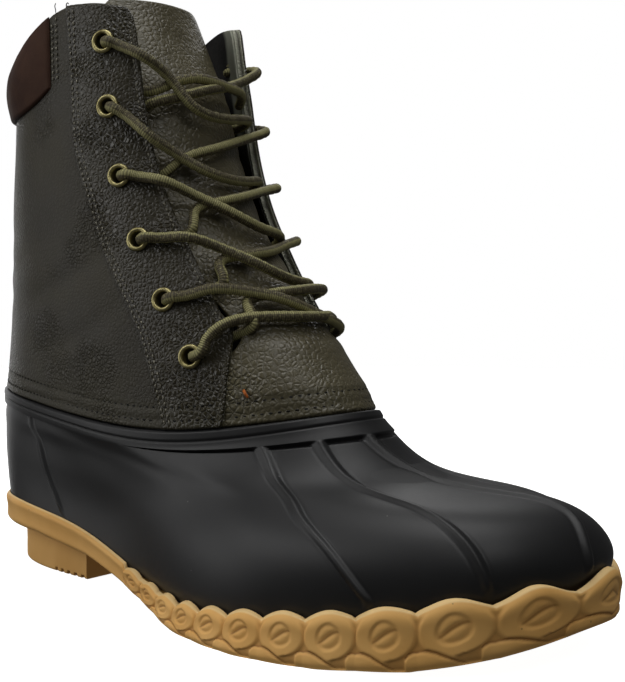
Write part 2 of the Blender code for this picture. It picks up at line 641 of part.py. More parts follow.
def make_insole(finish):
    columns = 40
    feather = LAST[ROW["feather"]]
    angle = np.linspace(-math.pi, math.pi, columns, endpoint=False)
    rim = plan_inset(lambda a: row_points(feather, a)[..., :2], angle, SHELL_WALL + 2.0 * GAP)
    share = (rim[:, 0] - feather.back) / (feather.front - feather.back)
    bed = through(HEIGHT_SHARES, (feather.heel, feather.waist, feather.ball, feather.toe), share) + GAP
    points = np.concatenate([np.column_stack([rim, bed]), np.column_stack([rim, bed + INSOLE])])
    faces = band_faces(2, columns, False, True) + across_faces(0, columns) + across_faces(columns, columns)
    return mesh_object("insole", points, faces, finish)


def lace_tube(name, route, finish):
    """Round lace along a smooth curve through the route's points, with closed ends."""
    route = np.array(route)
    run = np.concatenate([[0.0], np.cumsum(np.linalg.norm(np.diff(route, axis=0), axis=1))])
    count = max(6, int(run[-1] / (2.0 * LACE)) + 1)
    path = through(run, route, np.linspace(0.0, run[-1], count))
    turns = np.linspace(0.0, 2.0 * math.pi, LACE_SIDES, endpoint=False)
    across = np.array([0.0, 0.0, 1.0])
    rings = []
    for before, here, after in zip(np.vstack([path[:1], path]), path, np.vstack([path[1:], path[-1:]])):
        ahead = (after - before) / np.linalg.norm(after - before)
        across = across - ahead * np.dot(across, ahead)
        across /= np.linalg.norm(across)
        other = np.cross(ahead, across)
        rings.append([here + LACE / 2.0 * (math.cos(a) * across + math.sin(a) * other) for a in turns])
    points = np.array(rings).reshape(-1, 3)
    faces = band_faces(count, LACE_SIDES, False, True)
    faces += [tuple(range(LACE_SIDES)), tuple((count - 1) * LACE_SIDES + i for i in range(LACE_SIDES))]
    return mesh_object(name, points, faces, finish)


def lace_spot(side, share, row, out):
    """Point over the upper: side -1 outer, +1 inner."""
    return skin(side * float(angle_of(share)), row, out)


def over_tongue(side, share, row, lift):
    """Point of the lace's middle where it lies over the tongue."""
    drop = float(tongue_column(row, "drop"))
    spot = lace_spot(side, share, row, LACE / 2.0 + LACE_CLEAR + lift - drop)
    spot[0] -= min(float(tongue_column(row, "lean")), LACE_DIP)
    return spot


def over_stay(side, share, row, lift):
    """Point of the lace's middle where it lies over the eyestay."""
    return lace_spot(side, share, row, STAY_STEP + LACE / 2.0 + LACE_SEAT + lift)


def across_tongue(places, row, drop):
    """Points of the lace over the tongue."""
    return [over_tongue(math.copysign(1.0, share), abs(share), row + fall * drop, lift)
            for share, fall, lift in places]


def strand(side, number, plan):
    """From just beside an eyelet, over the eyestay, across the throat to the other edge one eyelet lower."""
    place, below = EYELETS[-1 - number], EYELETS[-2 - number]
    drop = below.row - place.row
    route = [
        over_stay(side, place.share + BESIDE_EYELET, place.row + 0.25 * plan.edge * drop, 0.0),
        over_stay(side, throat_share(place.row), place.row + plan.edge * drop, 1.6),
    ]
    route += across_tongue(plan.places, place.row, drop)
    end = place.row + plan.under * drop
    return route + [over_tongue(-side, throat_share(end) + INSIDE_EDGE, end, 0.3)]


def throat_share(row):
    return np.interp(row, column(THROAT, "row"), column(THROAT, "share"))


def tail_route():
    """Loose end of the lace, across the throat under the first crossing."""
    row, drop = EYELETS[-1].row, EYELETS[-2].row - EYELETS[-1].row
    inside = throat_share(row) + INSIDE_EDGE
    start = over_tongue(-1.0, inside, row + TAIL_START * drop, 0.0)
    end = over_tongue(1.0, inside, row + TAIL.under * drop, 0.0)
    return [start] + across_tongue(TAIL.places, row, drop) + [end]


def bar_route():
    """Bar over both eyestays from one of the lowest eyelets to the other."""
    low = EYELETS[0]
    ends = {}
    for side in (-1.0, 1.0):
        ends[side] = [over_stay(side, low.share + ahead, low.row + rise, 0.9) for ahead, rise in BAR_RISE]
    spots = ((-1.0, 0.945), (-1.0, 0.99), (1.0, 0.99), (1.0, 0.945))
    middle = [over_tongue(side, share, low.row + BAR_MIDDLE, 1.0) for side, share in spots]
    return ends[-1.0] + middle + ends[1.0][::-1]


def make_laces(finish):
    for number, (outer, inner) in enumerate(zip(OUTER_STRANDS, INNER_STRANDS)):
        crossing = lace_tube(f"lace_cross_{number + 1}", strand(-1.0, number, outer), finish)
        others = [strand(1.0, number, inner)]
        if number == 0:
            others.append(tail_route())
        if number == len(OUTER_STRANDS) - 1:
            others.append(bar_route())
        for index, route in enumerate(others):
            join(crossing, lace_tube(f"lace under {number} {index}", route, finish))


def join(keeper, other):
    """Fuse another lace into the keeper."""
    fuse = keeper.modifiers.new("crossing", "BOOLEAN")
    fuse.operation = "UNION"
    fuse.solver = "EXACT"
    fuse.object = other
    other.hide_render = True
    other.display_type = "WIRE"


def main():
    for thing in list(bpy.data.objects):
        bpy.data.objects.remove(thing, do_unlink=True)
    gum = material("gum rubber", (0.56, 0.33, 0.13), 0.55)
    black = material("black rubber", (0.012, 0.012, 0.013), 0.35)
    leather = material("olive brown leather", (0.040, 0.032, 0.020), 0.45)
    suede = material("brown cuff", (0.040, 0.018, 0.012), 0.75)
    felt = material("grey felt", (0.25, 0.24, 0.23), 0.9)
    brass = material("aged brass", (0.42, 0.33, 0.17), 0.35, 1.0)
    lace = material("olive lace", (0.035, 0.032, 0.018), 0.8)
    make_outsole(gum)
    make_shell(black)
    make_shaft(leather)
    make_tongue(leather)
    make_pad(suede)
    make_insole(felt)
    make_eyelets(brass)
    make_laces(lace)


main()
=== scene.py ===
# Duck boot for the right foot: gum sole, moulded rubber bottom, laced leather shaft
# Tables are in millimetres, meshes in metres; toe +x, inner side +y, up +z
import math

import bmesh
import bpy
import numpy as np
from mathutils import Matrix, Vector


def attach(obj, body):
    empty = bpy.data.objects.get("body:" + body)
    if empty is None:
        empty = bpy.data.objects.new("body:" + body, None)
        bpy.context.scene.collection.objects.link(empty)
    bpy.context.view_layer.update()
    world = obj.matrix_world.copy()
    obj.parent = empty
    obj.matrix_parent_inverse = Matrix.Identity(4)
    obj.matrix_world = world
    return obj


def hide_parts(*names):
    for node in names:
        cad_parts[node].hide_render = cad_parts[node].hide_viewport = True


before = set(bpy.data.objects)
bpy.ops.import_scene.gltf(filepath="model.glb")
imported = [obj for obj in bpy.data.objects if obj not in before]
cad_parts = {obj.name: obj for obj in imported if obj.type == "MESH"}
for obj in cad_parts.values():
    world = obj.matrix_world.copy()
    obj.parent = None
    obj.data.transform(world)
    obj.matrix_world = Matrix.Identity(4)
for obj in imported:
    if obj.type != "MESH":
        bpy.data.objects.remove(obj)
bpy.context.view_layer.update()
mm = 0.001
pi = math.pi

# camera
shot = {
    "width": 625, "height": 682,
    "azimuth": 42.3, "elevation": 3.59,
    "target": (0.0, 3.375, 90.0), "distance": 446.8,
    "focal": 1093.7, "middle": (249.5, 377.5),    # in pixels
}


def makeCamera():
    az, el = math.radians(shot["azimuth"]), math.radians(shot["elevation"])
    data = bpy.data.cameras.new("camera")
    data.sensor_width = 36.0
    longSide = max(shot["width"], shot["height"])
    data.lens = shot["focal"] * data.sensor_width / longSide
    data.shift_x = (shot["width"] / 2.0 - shot["middle"][0]) / longSide
    data.shift_y = (shot["middle"][1] - shot["height"] / 2.0) / longSide
    data.clip_start = 0.01
    data.clip_end = 50.0
    camera = bpy.data.objects.new("camera", data)
    bpy.context.scene.collection.objects.link(camera)
    back = Vector((math.cos(el) * math.sin(az), -math.cos(el) * math.cos(az), math.sin(el)))
    camera.location = (Vector(shot["target"]) + back * shot["distance"]) * mm
    camera.rotation_euler = (pi / 2.0 - el, 0.0, az)
    bpy.context.scene.camera = camera


makeCamera()

# last: rows from sole to collar, each with x back, x front, share of the sole's outline, share of an oval,
# half width of the oval, and heights at four shares of the length
lastRows = [
    (-144.0, 143.0, 0.890, 0.00, 45.0, 27.5, 12.5, 5.0, 21.0),
    (-147.5, 147.0, 0.945, 0.00, 45.0, 30.8, 15.6, 14.5, 32.0),
    (-150.2, 146.5, 0.950, 0.00, 45.0, 45.0, 32.0, 30.0, 39.5),
    (-151.0, 140.0, 0.880, 0.12, 47.0, 57.0, 46.0, 42.5, 47.8),
    (-151.0, 122.0, 0.780, 0.30, 47.0, 65.0, 56.0, 50.5, 53.2),
    (-150.6, 87.0, 0.780, 0.58, 46.0, 71.0, 62.5, 57.5, 57.0),
    (-150.0, 65.0, 0.820, 0.80, 45.5, 76.0, 67.5, 64.0, 71.5),
    (-149.0, 57.5, 0.840, 0.90, 46.0, 82.0, 75.0, 71.5, 80.0),
    (-142.0, 39.0, 0.840, 1.00, 46.5, 107.0, 105.0, 105.0, 106.0),
    (-137.5, 13.0, 1.000, 1.00, 46.5, 142.0, 141.0, 141.0, 142.0),
    (-134.3, -4.0, 1.000, 1.00, 46.0, 175.0, 174.0, 174.0, 175.0),
    (-131.0, -11.0, 1.000, 1.00, 45.0, 207.0, 205.0, 205.0, 205.0),
    (-129.0, -18.0, 1.000, 1.00, 43.5, 221.0, 233.0, 239.5, 230.0),
]
heightShares = (0.0, 0.4, 0.7, 1.0)
heelFill = {    # number of the row: width added at the heel, full up to one x and gone at the other
    3: (4.0, -55.0, 15.0),
    4: (6.6, -70.0, 30.0),
    5: (3.8, -80.0, -18.0),
    6: (0.6, -80.0, -18.0),
}
# sole: share of the length, outer y, inner y, heights of underside and rim, flare of the outer side
soleRows = np.array([
    (0.000, 0.0, 0.0, 19.0, 31.5, 0.0),
    (0.020, -15.4, 15.4, 19.0, 31.4, 0.0),
    (0.080, -29.6, 29.6, 19.0, 31.5, 0.0),
    (0.180, -37.2, 35.7, 18.6, 29.8, 0.0),
    (0.300, -38.8, 34.9, 14.0, 24.0, 0.0),
    (0.420, -43.2, 35.2, 4.6, 13.6, 0.5),
    (0.540, -54.2, 41.0, 0.0, 10.9, 3.6),
    (0.660, -59.4, 50.7, 0.0, 14.6, 4.2),
    (0.760, -54.2, 55.5, 0.0, 18.4, 2.4),
    (0.860, -43.2, 53.0, 2.3, 23.8, 0.4),
    (0.940, -27.2, 43.0, 8.2, 29.2, 0.0),
    (0.985, -6.5, 29.0, 13.4, 32.0, 0.0),
    (1.000, 13.0, 13.0, 15.4, 33.0, 0.0),
])
soleLength = 300.0
middleY = 3.375    # y of the line the tables are measured from
# lines on the shaft: row of the last, share of the depth
throatLine = np.array([
    (7.0, 0.813), (7.6, 0.850), (8.15, 0.900), (8.3, 0.888), (9.0, 0.886), (10.0, 0.871),
    (10.9, 0.857), (11.75, 0.854), (11.9, 0.848), (12.0, 0.832),
])
seamLine = np.array([(7.0, 0.697), (8.1, 0.688), (9.0, 0.659), (9.7, 0.640), (10.4, 0.612), (12.0, 0.600)])


def cubicPieces(knots, values):    # natural spline
    values = np.asarray(values, float)
    steps = np.diff(np.asarray(knots, float))
    wide = steps.reshape((-1,) + (1,) * (values.ndim - 1))
    slopes = np.diff(values, axis=0) / wide
    system = np.eye(len(values))
    right = np.zeros_like(values)
    for i in range(1, len(values) - 1):
        system[i, i - 1:i + 2] = steps[i - 1], 2.0 * (steps[i - 1] + steps[i]), steps[i]
        right[i] = 3.0 * (slopes[i] - slopes[i - 1])
    bend = np.linalg.solve(system, right.reshape(len(values), -1)).reshape(values.shape)
    slope = slopes - wide * (2.0 * bend[:-1] + bend[1:]) / 3.0
    return np.stack([values[:-1], slope, bend[:-1], np.diff(bend, axis=0) / (3.0 * wide)])


def pieceOf(knots, places):
    knots = np.asarray(knots, float)
    span = np.clip(np.searchsorted(knots, places, side="right") - 1, 0, len(knots) - 2)
    return span, np.asarray(places, float) - knots[span]


def through(knots, values, places):
    pieces = cubicPieces(knots, values)
    span, along = pieceOf(knots, places)
    value, slope, bend, cube = pieces[:, span]
    along = along.reshape(along.shape + (1,) * (pieces.ndim - 2))
    return value + along * (slope + along * (bend + along * cube))


def shareOf(angle):
    return (1.0 - np.cos(angle)) / 2.0


def angleOf(share):
    return np.arccos(1.0 - 2.0 * np.asarray(share, float))


def soleY(angle):
    angles = angleOf(soleRows[:, 0])
    knots = np.concatenate([-angles[::-1], angles[1:]])
    edge = np.concatenate([soleRows[::-1, 1], soleRows[1:, 2]])
    return through(knots, edge, (np.asarray(angle, float) + pi) % (2.0 * pi) - pi)


def movedIn(plan, angle, inset):    # a plan given by angle, moved inwards
    step = 0.004
    inner = np.clip(angle, -pi + step, pi - step)
    tangent = plan(inner + step) - plan(inner - step)
    inward = np.stack([tangent[..., 1], -tangent[..., 0]], axis=-1)
    inward /= np.linalg.norm(inward, axis=-1, keepdims=True)
    inward[np.abs(np.abs(angle) - pi) < step] = (-1.0, 0.0)
    return plan(angle) + inward * np.broadcast_to(inset, np.shape(angle))[..., None]


def solePlan(angle):
    return np.stack([soleLength * (shareOf(angle) - 0.5), middleY + soleY(angle)], axis=-1)


def soleOutline(angle, inset):
    return movedIn(solePlan, angle, inset)


def smooth(low, high, value):
    t = np.clip((np.asarray(value, float) - low) / (high - low), 0.0, 1.0)
    return t * t * (3.0 - 2.0 * t)


def rowPoints(number, angle):
    back, front, outline, oval, half = lastRows[number][:5]
    share = shareOf(angle)
    x = back + (front - back) * share
    width, start, end = heelFill.get(number, (0.0, 0.0, 1.0))
    fill = width * (1.0 - smooth(start, end, x))
    y = middleY + soleY(angle) * outline * (1.0 - oval) + (half * oval + fill) * np.sin(angle)
    return np.stack([x, y, through(heightShares, lastRows[number][5:], share)], axis=-1)


backLean = {"rows": (8.0, 8.6, 9.6, 10.4), "depths": (0.0, 0.6, 2.1, 2.6), "angle": 0.8}
angleSteps = 2880
rowNumbers = np.arange(len(lastRows))
tableAngles = np.linspace(-pi, pi, angleSteps + 1)
lastPieces = cubicPieces(rowNumbers, np.stack([rowPoints(row, tableAngles) for row in rowNumbers]))


def lastPoint(angle, height):
    place = (angle + pi) % (2.0 * pi) / (2.0 * pi) * angleSteps
    left = np.clip(place.astype(int), 0, angleSteps - 1)
    part = (place - left)[:, None]
    span, along = pieceOf(rowNumbers, height)
    pieces = lastPieces[:, span, left] * (1.0 - part) + lastPieces[:, span, left + 1] * part
    along = along[:, None]
    points = pieces[0] + along * (pieces[1] + along * (pieces[2] + along * pieces[3]))
    lean = np.interp(height, backLean["rows"], backLean["depths"])
    points[:, 0] += lean * np.exp(-(((angle + pi) % (2.0 * pi) - pi) / backLean["angle"]) ** 2)
    return points


def skinNormal(angle, height):
    angle, height = (np.array(a, float) for a in np.broadcast_arrays(angle, height))
    shape = angle.shape
    angle, height = angle.ravel(), height.ravel()
    roundFoot = lastPoint(angle + 0.01, height) - lastPoint(angle - 0.01, height)
    upwards = lastPoint(angle, height + 0.02) - lastPoint(angle, height - 0.02)
    normal = np.cross(upwards, roundFoot)
    normal /= np.linalg.norm(normal, axis=-1, keepdims=True)
    return normal.reshape(shape + (3,))


def skin(angle, height, out=0.0):    # surface of the upper, moved out along its normal
    angle, height, out = (np.array(a, float) for a in np.broadcast_arrays(angle, height, out))
    points = lastPoint(angle.ravel(), height.ravel()).reshape(angle.shape + (3,))
    return points + skinNormal(angle, height) * out[..., None]


def lineAngle(line, height):
    return angleOf(np.interp(height, line[:, 0], line[:, 1]))


def runOf(path):    # distance along a path of points
    return np.concatenate([[0.0], np.cumsum(np.linalg.norm(np.diff(path, axis=0), axis=1))])


def wavy(points, size, seed=0.0):    # slow unevenness between -1 and 1
    p = np.asarray(points) / size
    x, y, z = p[..., 0], p[..., 1], p[..., 2]
    first = np.sin(1.7 * x + 0.9 * y - 1.3 * z + seed) + np.sin(-0.8 * x + 1.9 * y + 1.1 * z + 2.3 * seed)
    second = np.sin(2.9 * x - 2.2 * y + 0.7 * z + 1.1 + seed) * np.sin(0.6 * x + 1.4 * y + 2.6 * z + 0.4)
    return (first + second) / 3.0


def gridFaces(rows, columns, closedRows=False, closedColumns=False):
    r = np.arange(rows if closedRows else rows - 1)[:, None]
    c = np.arange(columns if closedColumns else columns - 1)[None, :]
    above, beside = (r + 1) % rows, (c + 1) % columns
    corners = [r * columns + c, r * columns + beside, above * columns + beside, above * columns + c]
    return np.stack(np.broadcast_arrays(*corners), axis=-1).reshape(-1, 4).tolist()


def sheetFaces(rows, columns):    # outer grid, inner grid, joined round the rim
    inner = rows * columns
    faces = gridFaces(rows, columns)
    faces += [[i + inner for i in face] for face in faces]
    rim = list(range(columns)) + [r * columns + columns - 1 for r in range(1, rows)]
    rim += [(rows - 1) * columns + c for c in range(columns - 2, -1, -1)]
    rim += [r * columns for r in range(rows - 2, 0, -1)]
    faces += [[here, after, after + inner, here + inner] for here, after in zip(rim, rim[1:] + rim[:1])]
    return faces


def newPiece(name, points, faces, paint, nodes=(), marks=None):
    mesh = bpy.data.meshes.new(name)
    mesh.from_pydata((np.asarray(points).reshape(-1, 3) * mm).tolist(), [], faces)
    work = bmesh.new()
    work.from_mesh(mesh)
    bmesh.ops.recalc_face_normals(work, faces=work.faces)
    work.to_mesh(mesh)
    work.free()
    for key, values in (marks or {}).items():
        mark = mesh.attributes.new(key, "FLOAT", "POINT")
        mark.data.foreach_set("value", np.ravel(values).astype(np.float32))
    mesh.materials.append(paint)
    mesh.shade_smooth()
    mesh.set_sharp_from_angle(angle=math.radians(55.0))
    piece = bpy.data.objects.new(name, mesh)
    bpy.context.scene.collection.objects.link(piece)
    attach(piece, "root")
    if nodes:
        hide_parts(*nodes)
    return piece


def runAcross(points):    # distance along each row of a sheet
    steps = np.linalg.norm(np.diff(points, axis=1), axis=-1)
    return np.concatenate([np.zeros((points.shape[0], 1)), np.cumsum(steps, axis=1)], axis=1)


# rounding of a sheet's edges: b and t are its first and last rows, l and r its first and last columns
def edgeDrop(points, radius, sides="tblr"):
    fromFirstRow = runAcross(points.swapaxes(0, 1)).T
    fromFirstColumn = runAcross(points)
    gaps = {
        "b": fromFirstRow, "t": fromFirstRow[-1:] - fromFirstRow,
        "l": fromFirstColumn, "r": fromFirstColumn[:, -1:] - fromFirstColumn,
    }
    gap = np.minimum(np.min([gaps[side] for side in sides], axis=0), radius)
    return radius - np.sqrt(np.maximum(radius ** 2 - (radius - gap) ** 2, 0.0))


def spread(count, edge=0.012):    # places from 0 to 1, closer together at both ends
    ends = edge * np.array([0.0, 0.15, 0.4, 0.7])
    return np.concatenate([ends, np.linspace(edge, 1.0 - edge, count), 1.0 - ends[::-1]])


def trough(points, path, width, depth):    # soft crease along a path on the surface
    path = np.asarray(path)
    run = runOf(path)
    dense = through(run, path, np.linspace(0.0, run[-1], 28))
    fade = np.sin(pi * np.linspace(0.06, 0.94, 28)) ** 0.6
    gap = np.linalg.norm(points[..., None, :] - dense, axis=-1)
    return -depth * np.max(np.exp(-(gap / width) ** 2) * fade, axis=-1)


# shaders
def tone(red, green, blue):    # screen colour to linear
    scaled = np.array([red, green, blue]) / 255.0
    linear = np.where(scaled <= 0.04045, scaled / 12.92, ((scaled + 0.055) / 1.055) ** 2.4)
    return (*linear.tolist(), 1.0)


class Wire:    # a socket with arithmetic; each operator adds one Math node
    def __init__(self, paint, socket):
        self.paint = paint
        self.socket = socket

    def maths(self, operation, *values):
        return self.paint.node("ShaderNodeMath", {"operation": operation}, dict(enumerate(values)))

    def __add__(self, other):
        return self.maths("ADD", self, other)

    def __radd__(self, other):
        return self.maths("ADD", other, self)

    def __sub__(self, other):
        return self.maths("SUBTRACT", self, other)

    def __rsub__(self, other):
        return self.maths("SUBTRACT", other, self)

    def __mul__(self, other):
        return self.maths("MULTIPLY", self, other)

    def __rmul__(self, other):
        return self.maths("MULTIPLY", other, self)

    def sine(self):
        return self.maths("SINE", self)

    def ramp(self, low, high):    # 0 at low, 1 at high, eased
        values = {"Value": self, "From Min": low, "From Max": high, "To Min": 0.0, "To Max": 1.0}
        return self.paint.node("ShaderNodeMapRange", {"interpolation_type": "SMOOTHSTEP"}, values)


class Paint:    # one material and its nodes
    def __init__(self, name, **constants):
        self.material = bpy.data.materials.new(name)
        self.material.use_nodes = True
        self.tree = self.material.node_tree
        self.shader = self.tree.nodes["Principled BSDF"]
        for key, value in constants.items():
            self.shader.inputs[key.replace("_", " ")].default_value = value
        self.place = self.node("ShaderNodeTexCoord", {}, {}, "Object")

    def node(self, kind, settings, sockets, output=0):
        made = self.tree.nodes.new(kind)
        for key, value in settings.items():
            setattr(made, key, value)
        for key, value in sockets.items():
            if isinstance(value, Wire):
                self.tree.links.new(value.socket, made.inputs[key])
            else:
                made.inputs[key].default_value = value
        return Wire(self, made.outputs[output])

    def mark(self, name):    # number kept on the mesh's points
        return self.node("ShaderNodeAttribute", {"attribute_name": name}, {}, "Fac")

    def noise(self, size, detail=2.0, rough=0.5):    # size in mm
        values = {"Vector": self.place, "Scale": 1000.0 / size, "Detail": detail, "Roughness": rough}
        return self.node("ShaderNodeTexNoise", {}, values)

    def cells(self, size, feature="F1", output="Distance"):
        values = {"Vector": self.place, "Scale": 1000.0 / size}
        return self.node("ShaderNodeTexVoronoi", {"feature": feature}, values, output)

    def speck(self, size, share, radius):    # round flecks in a share of the cells
        colour = self.cells(size, output="Color")
        pick = self.node("ShaderNodeSeparateColor", {}, {"Color": colour})
        pick = pick.ramp(1.0 - share, 1.0 - share * 0.6)
        return (1.0 - self.cells(size).ramp(radius * 0.6, radius)) * pick

    def mix(self, factor, first, second):
        return self.node("ShaderNodeMix", {"data_type": "RGBA"}, {0: factor, 6: first, 7: second}, 2)

    def bump(self, height, depth, strength):    # depth in mm
        values = {"Height": height, "Distance": depth * mm, "Strength": strength}
        return self.node("ShaderNodeBump", {}, values)

    def feed(self, **wires):
        for key, value in wires.items():
            self.tree.links.new(value.socket, self.shader.inputs[key.replace("_", " ")])
        return self.material


def rubberPaint():
    p = Paint("blackRubber", Specular_IOR_Level=0.48)
    cloud = p.noise(38.0, 3.0)
    fine = p.noise(2.2, 3.0)
    dust = p.speck(4.2, 0.09, 0.085)
    base = p.mix(cloud.ramp(0.35, 0.7), tone(13, 13, 14), tone(19, 19, 20))
    base = p.mix(dust * 0.5, base, tone(130, 128, 125))
    rough = 0.40 + cloud * 0.10 + fine * 0.06
    return p.feed(Base_Color=base, Roughness=rough, Normal=p.bump(fine, 0.04, 0.4))


def gumPaint():    # the mark read below is painted shade above 0, darkening the moulded cuts, and a painted highlight below 0, lightening the thin lip of the rim
    p = Paint("gumRubber", Specular_IOR_Level=0.30)
    cloud = p.noise(30.0, 3.0)
    fine = p.noise(1.4, 3.0)
    paintedShadeAndHighlight = p.mark("paintedShadeAndHighlight")
    base = p.mix(cloud.ramp(0.3, 0.7), tone(228, 173, 96), tone(240, 188, 112))
    # painted shade: the moulded cuts are painted darker, standing in for the shade inside them
    base = p.mix(paintedShadeAndHighlight.ramp(0.0, 1.0) * 0.9, base, tone(134, 82, 32))
    # painted highlight: the rim's thin lip is painted pale, standing in for the light caught along it
    base = p.mix((paintedShadeAndHighlight * -1.0).ramp(0.1, 0.7) * 0.6, base, tone(246, 220, 164))
    base = p.mix(p.speck(4.0, 0.12, 0.12) * 0.5, base, tone(96, 70, 42))
    return p.feed(Base_Color=base, Roughness=0.52 + fine * 0.16, Normal=p.bump(fine, 0.06, 0.5))


# "strip" marks the band along the lower edge, "back" the raw inner face
def pebblePaint(name, light, dark, gloss, size, depth, plainFrom):
    p = Paint(name, Specular_IOR_Level=0.40)
    level = p.node("ShaderNodeSeparateXYZ", {}, {"Vector": p.place}, "Z") * 1000.0
    near = p.cells(size)
    crease = p.cells(size, "DISTANCE_TO_EDGE")
    cloud = p.noise(24.0, 3.0)
    patch = p.noise(26.0, 1.0).ramp(0.45, 0.62) * (1.0 - level.ramp(plainFrom, plainFrom + 30.0))
    pores = p.noise(0.5, 2.0)
    strip = p.mark("strip")
    grain = (crease.ramp(0.0, 0.30) * 0.7 + (1.0 - near) * 0.4) * (0.34 + patch * 0.66)
    valley = (1.0 - crease.ramp(0.0, 0.14)) * (0.35 + patch * 0.65)
    base = p.mix(cloud.ramp(0.3, 0.7), dark, light)
    base = p.mix(strip * 0.35, base, tone(60, 56, 38))
    # painted shade: the creases between pebbles are painted darker, most of all in the glinting patches
    base = p.mix(valley * 0.40, base, tone(18, 15, 9))
    base = p.mix(p.speck(6.0, 0.08, 0.07) * 0.4, base, tone(120, 112, 92))
    base = p.mix(p.mark("back"), base, tone(176, 177, 158))
    rough = gloss + valley * 0.2 + cloud * 0.12 - patch * 0.10
    return p.feed(Base_Color=base, Roughness=rough, Normal=p.bump(grain + pores * 0.06, depth, 0.9))


def cuffPaint():
    p = Paint("brownCuff", Specular_IOR_Level=0.16)
    cloud = p.noise(14.0, 4.0)
    fine = p.noise(0.8, 3.0)
    base = p.mix(cloud.ramp(0.3, 0.7), tone(54, 34, 26), tone(68, 46, 34))
    return p.feed(Base_Color=base, Roughness=0.66 + fine * 0.2, Normal=p.bump(fine, 0.15, 0.6))


def feltPaint(name, light, dark, paintedLitTone=None):    # "pale" marks the top of the lining beside the throat, painted lighter as a painted highlight
    p = Paint(name, Specular_IOR_Level=0.2)
    fibre = p.noise(1.6, 5.0, 0.7)
    base = p.mix(fibre.ramp(0.3, 0.7), dark, light)
    if paintedLitTone:
        # painted highlight: the pale tone is mixed in where the lining's top catches light
        base = p.mix(p.mark("pale"), base, paintedLitTone)
    return p.feed(Base_Color=base, Roughness=0.85 + fibre * 0.1, Normal=p.bump(fibre, 0.25, 0.7))


def gussetPaint():
    p = Paint("blackGusset", Specular_IOR_Level=0.4)
    cloud = p.noise(9.0, 3.0)
    base = p.mix(cloud, tone(12, 11, 10), tone(22, 20, 18))
    return p.feed(Base_Color=base, Roughness=0.42 + cloud * 0.2, Normal=p.bump(cloud, 0.4, 0.5))


def brassPaint():
    p = Paint("agedBrass", Metallic=0.92)
    cloud = p.noise(3.0, 3.0)
    scratch = p.noise(0.6, 2.0)
    base = p.mix(cloud.ramp(0.35, 0.7), tone(178, 168, 120), tone(128, 119, 78))
    return p.feed(Base_Color=base, Roughness=0.30 + cloud * 0.18, Normal=p.bump(scratch, 0.04, 0.5))


def lacePaint():
    p = Paint("oliveLace", Specular_IOR_Level=0.35)
    along, stripe = p.mark("along"), p.mark("stripe")
    ribs = (along * 7.4).sine() * 0.5 + 0.5
    fibre = p.noise(0.9, 2.0)
    base = p.mix(stripe.ramp(-0.35, 0.25), tone(150, 145, 98), tone(82, 74, 52))
    base = p.mix(fibre.ramp(0.45, 0.75) * 0.5, base, tone(172, 166, 116))
    # painted shade: the low parts between the braid's ribs are painted darker
    base = p.mix((1.0 - ribs.ramp(0.1, 0.6)) * 0.55, base, tone(20, 16, 10))
    weave = p.bump(ribs + fibre * 0.4, 0.16, 0.8)
    return p.feed(Base_Color=base, Roughness=0.55 + fibre * 0.2, Normal=weave)


def threadPaint(name, light, dark):
    p = Paint(name, Specular_IOR_Level=0.3)
    base = p.mix(p.noise(1.1, 2.0).ramp(0.35, 0.65), dark, light)
    return p.feed(Base_Color=base, Roughness=0.6 + p.noise(0.5) * 0.2)


paints = {
    "rubber": rubberPaint(),
    "gum": gumPaint(),
    "quarter": pebblePaint("quarterLeather", tone(52, 47, 29), tone(42, 37, 22), 0.48, 1.6, 0.36, 400.0),
    "stay": pebblePaint("eyestayLeather", tone(51, 46, 28), tone(41, 36, 21), 0.28, 1.7, 0.52, 400.0),
    "tongue": pebblePaint("tongueLeather", tone(92, 86, 64), tone(80, 74, 54), 0.30, 2.2, 0.70, 118.0),
    "cuff": cuffPaint(),
    # the last tone is the painted highlight for the lining's top beside the throat
    "lining": feltPaint("charcoalLining", tone(34, 32, 30), tone(20, 19, 18), tone(150, 152, 138)),
    "felt": feltPaint("greyFelt", tone(78, 76, 72), tone(58, 56, 52)),
    "gusset": gussetPaint(),
    "brass": brassPaint(),
    "lace": lacePaint(),
    "paleThread": threadPaint("paleThread", tone(138, 134, 120), tone(92, 88, 76)),
    "oliveThread": threadPaint("oliveThread", tone(26, 24, 15), tone(14, 13, 9)),
    "orangeThread": threadPaint("orangeThread", tone(190, 104, 40), tone(160, 82, 30)),
}
print("paints ready")

# gum sole
soleLook = {
    "linkNumbers": (0, 3, 5, 11), "linkWidths": (36.0, 19.0, 16.5, 14.5), "links": 12,
    "scallop": (5.6, 5.2, 4.4, 3.9, 3.3), "scallopAt": (0, 1, 2, 3, 11), "scallopLevel": 0.95, "bulge": 0.6,
    "fineColumns": 460, "plainColumns": 90, "valley": 0.75, "pan": 0.6, "line": 0.85,
    "lobedRun": 222.0,
    "columnsOver": 22, "barGroove": 2.4, "middleGroove": 0.03,
    "barsFrom": (0.45, 0.52), "barEdge": (0.62, 0.80),
    # lip sets the painted highlight along the rim's top edge, as a negative mark value
    "gap": 0.4, "bedDrop": 0.5, "leastRim": 0.9, "rimDrop": 0.3, "lip": -0.7,
    "sideDown": (0.0, 0.06, 0.30, 0.75, 0.93, 1.0), "sideInset": (1.0, 0.3, 0.0, 0.3, 0.7, 1.5),
}
linkLook = {    # heights are shares of the way down, widths are in half links
    "middle": 0.34, "width": 0.88, "height": 0.47, "edge": 0.06,
    "openMiddle": 0.41, "openWidth": 0.50, "openHeight": 0.25, "slant": 0.34, "bend": 0.5,
    # the valley, line, crease and pan strengths below are painted shade in those hollows of the gum
    "valleyShade": 0.45, "lineShade": 0.8, "creaseShade": 0.6, "panShade": 0.22, "lineWidth": 0.026,
}
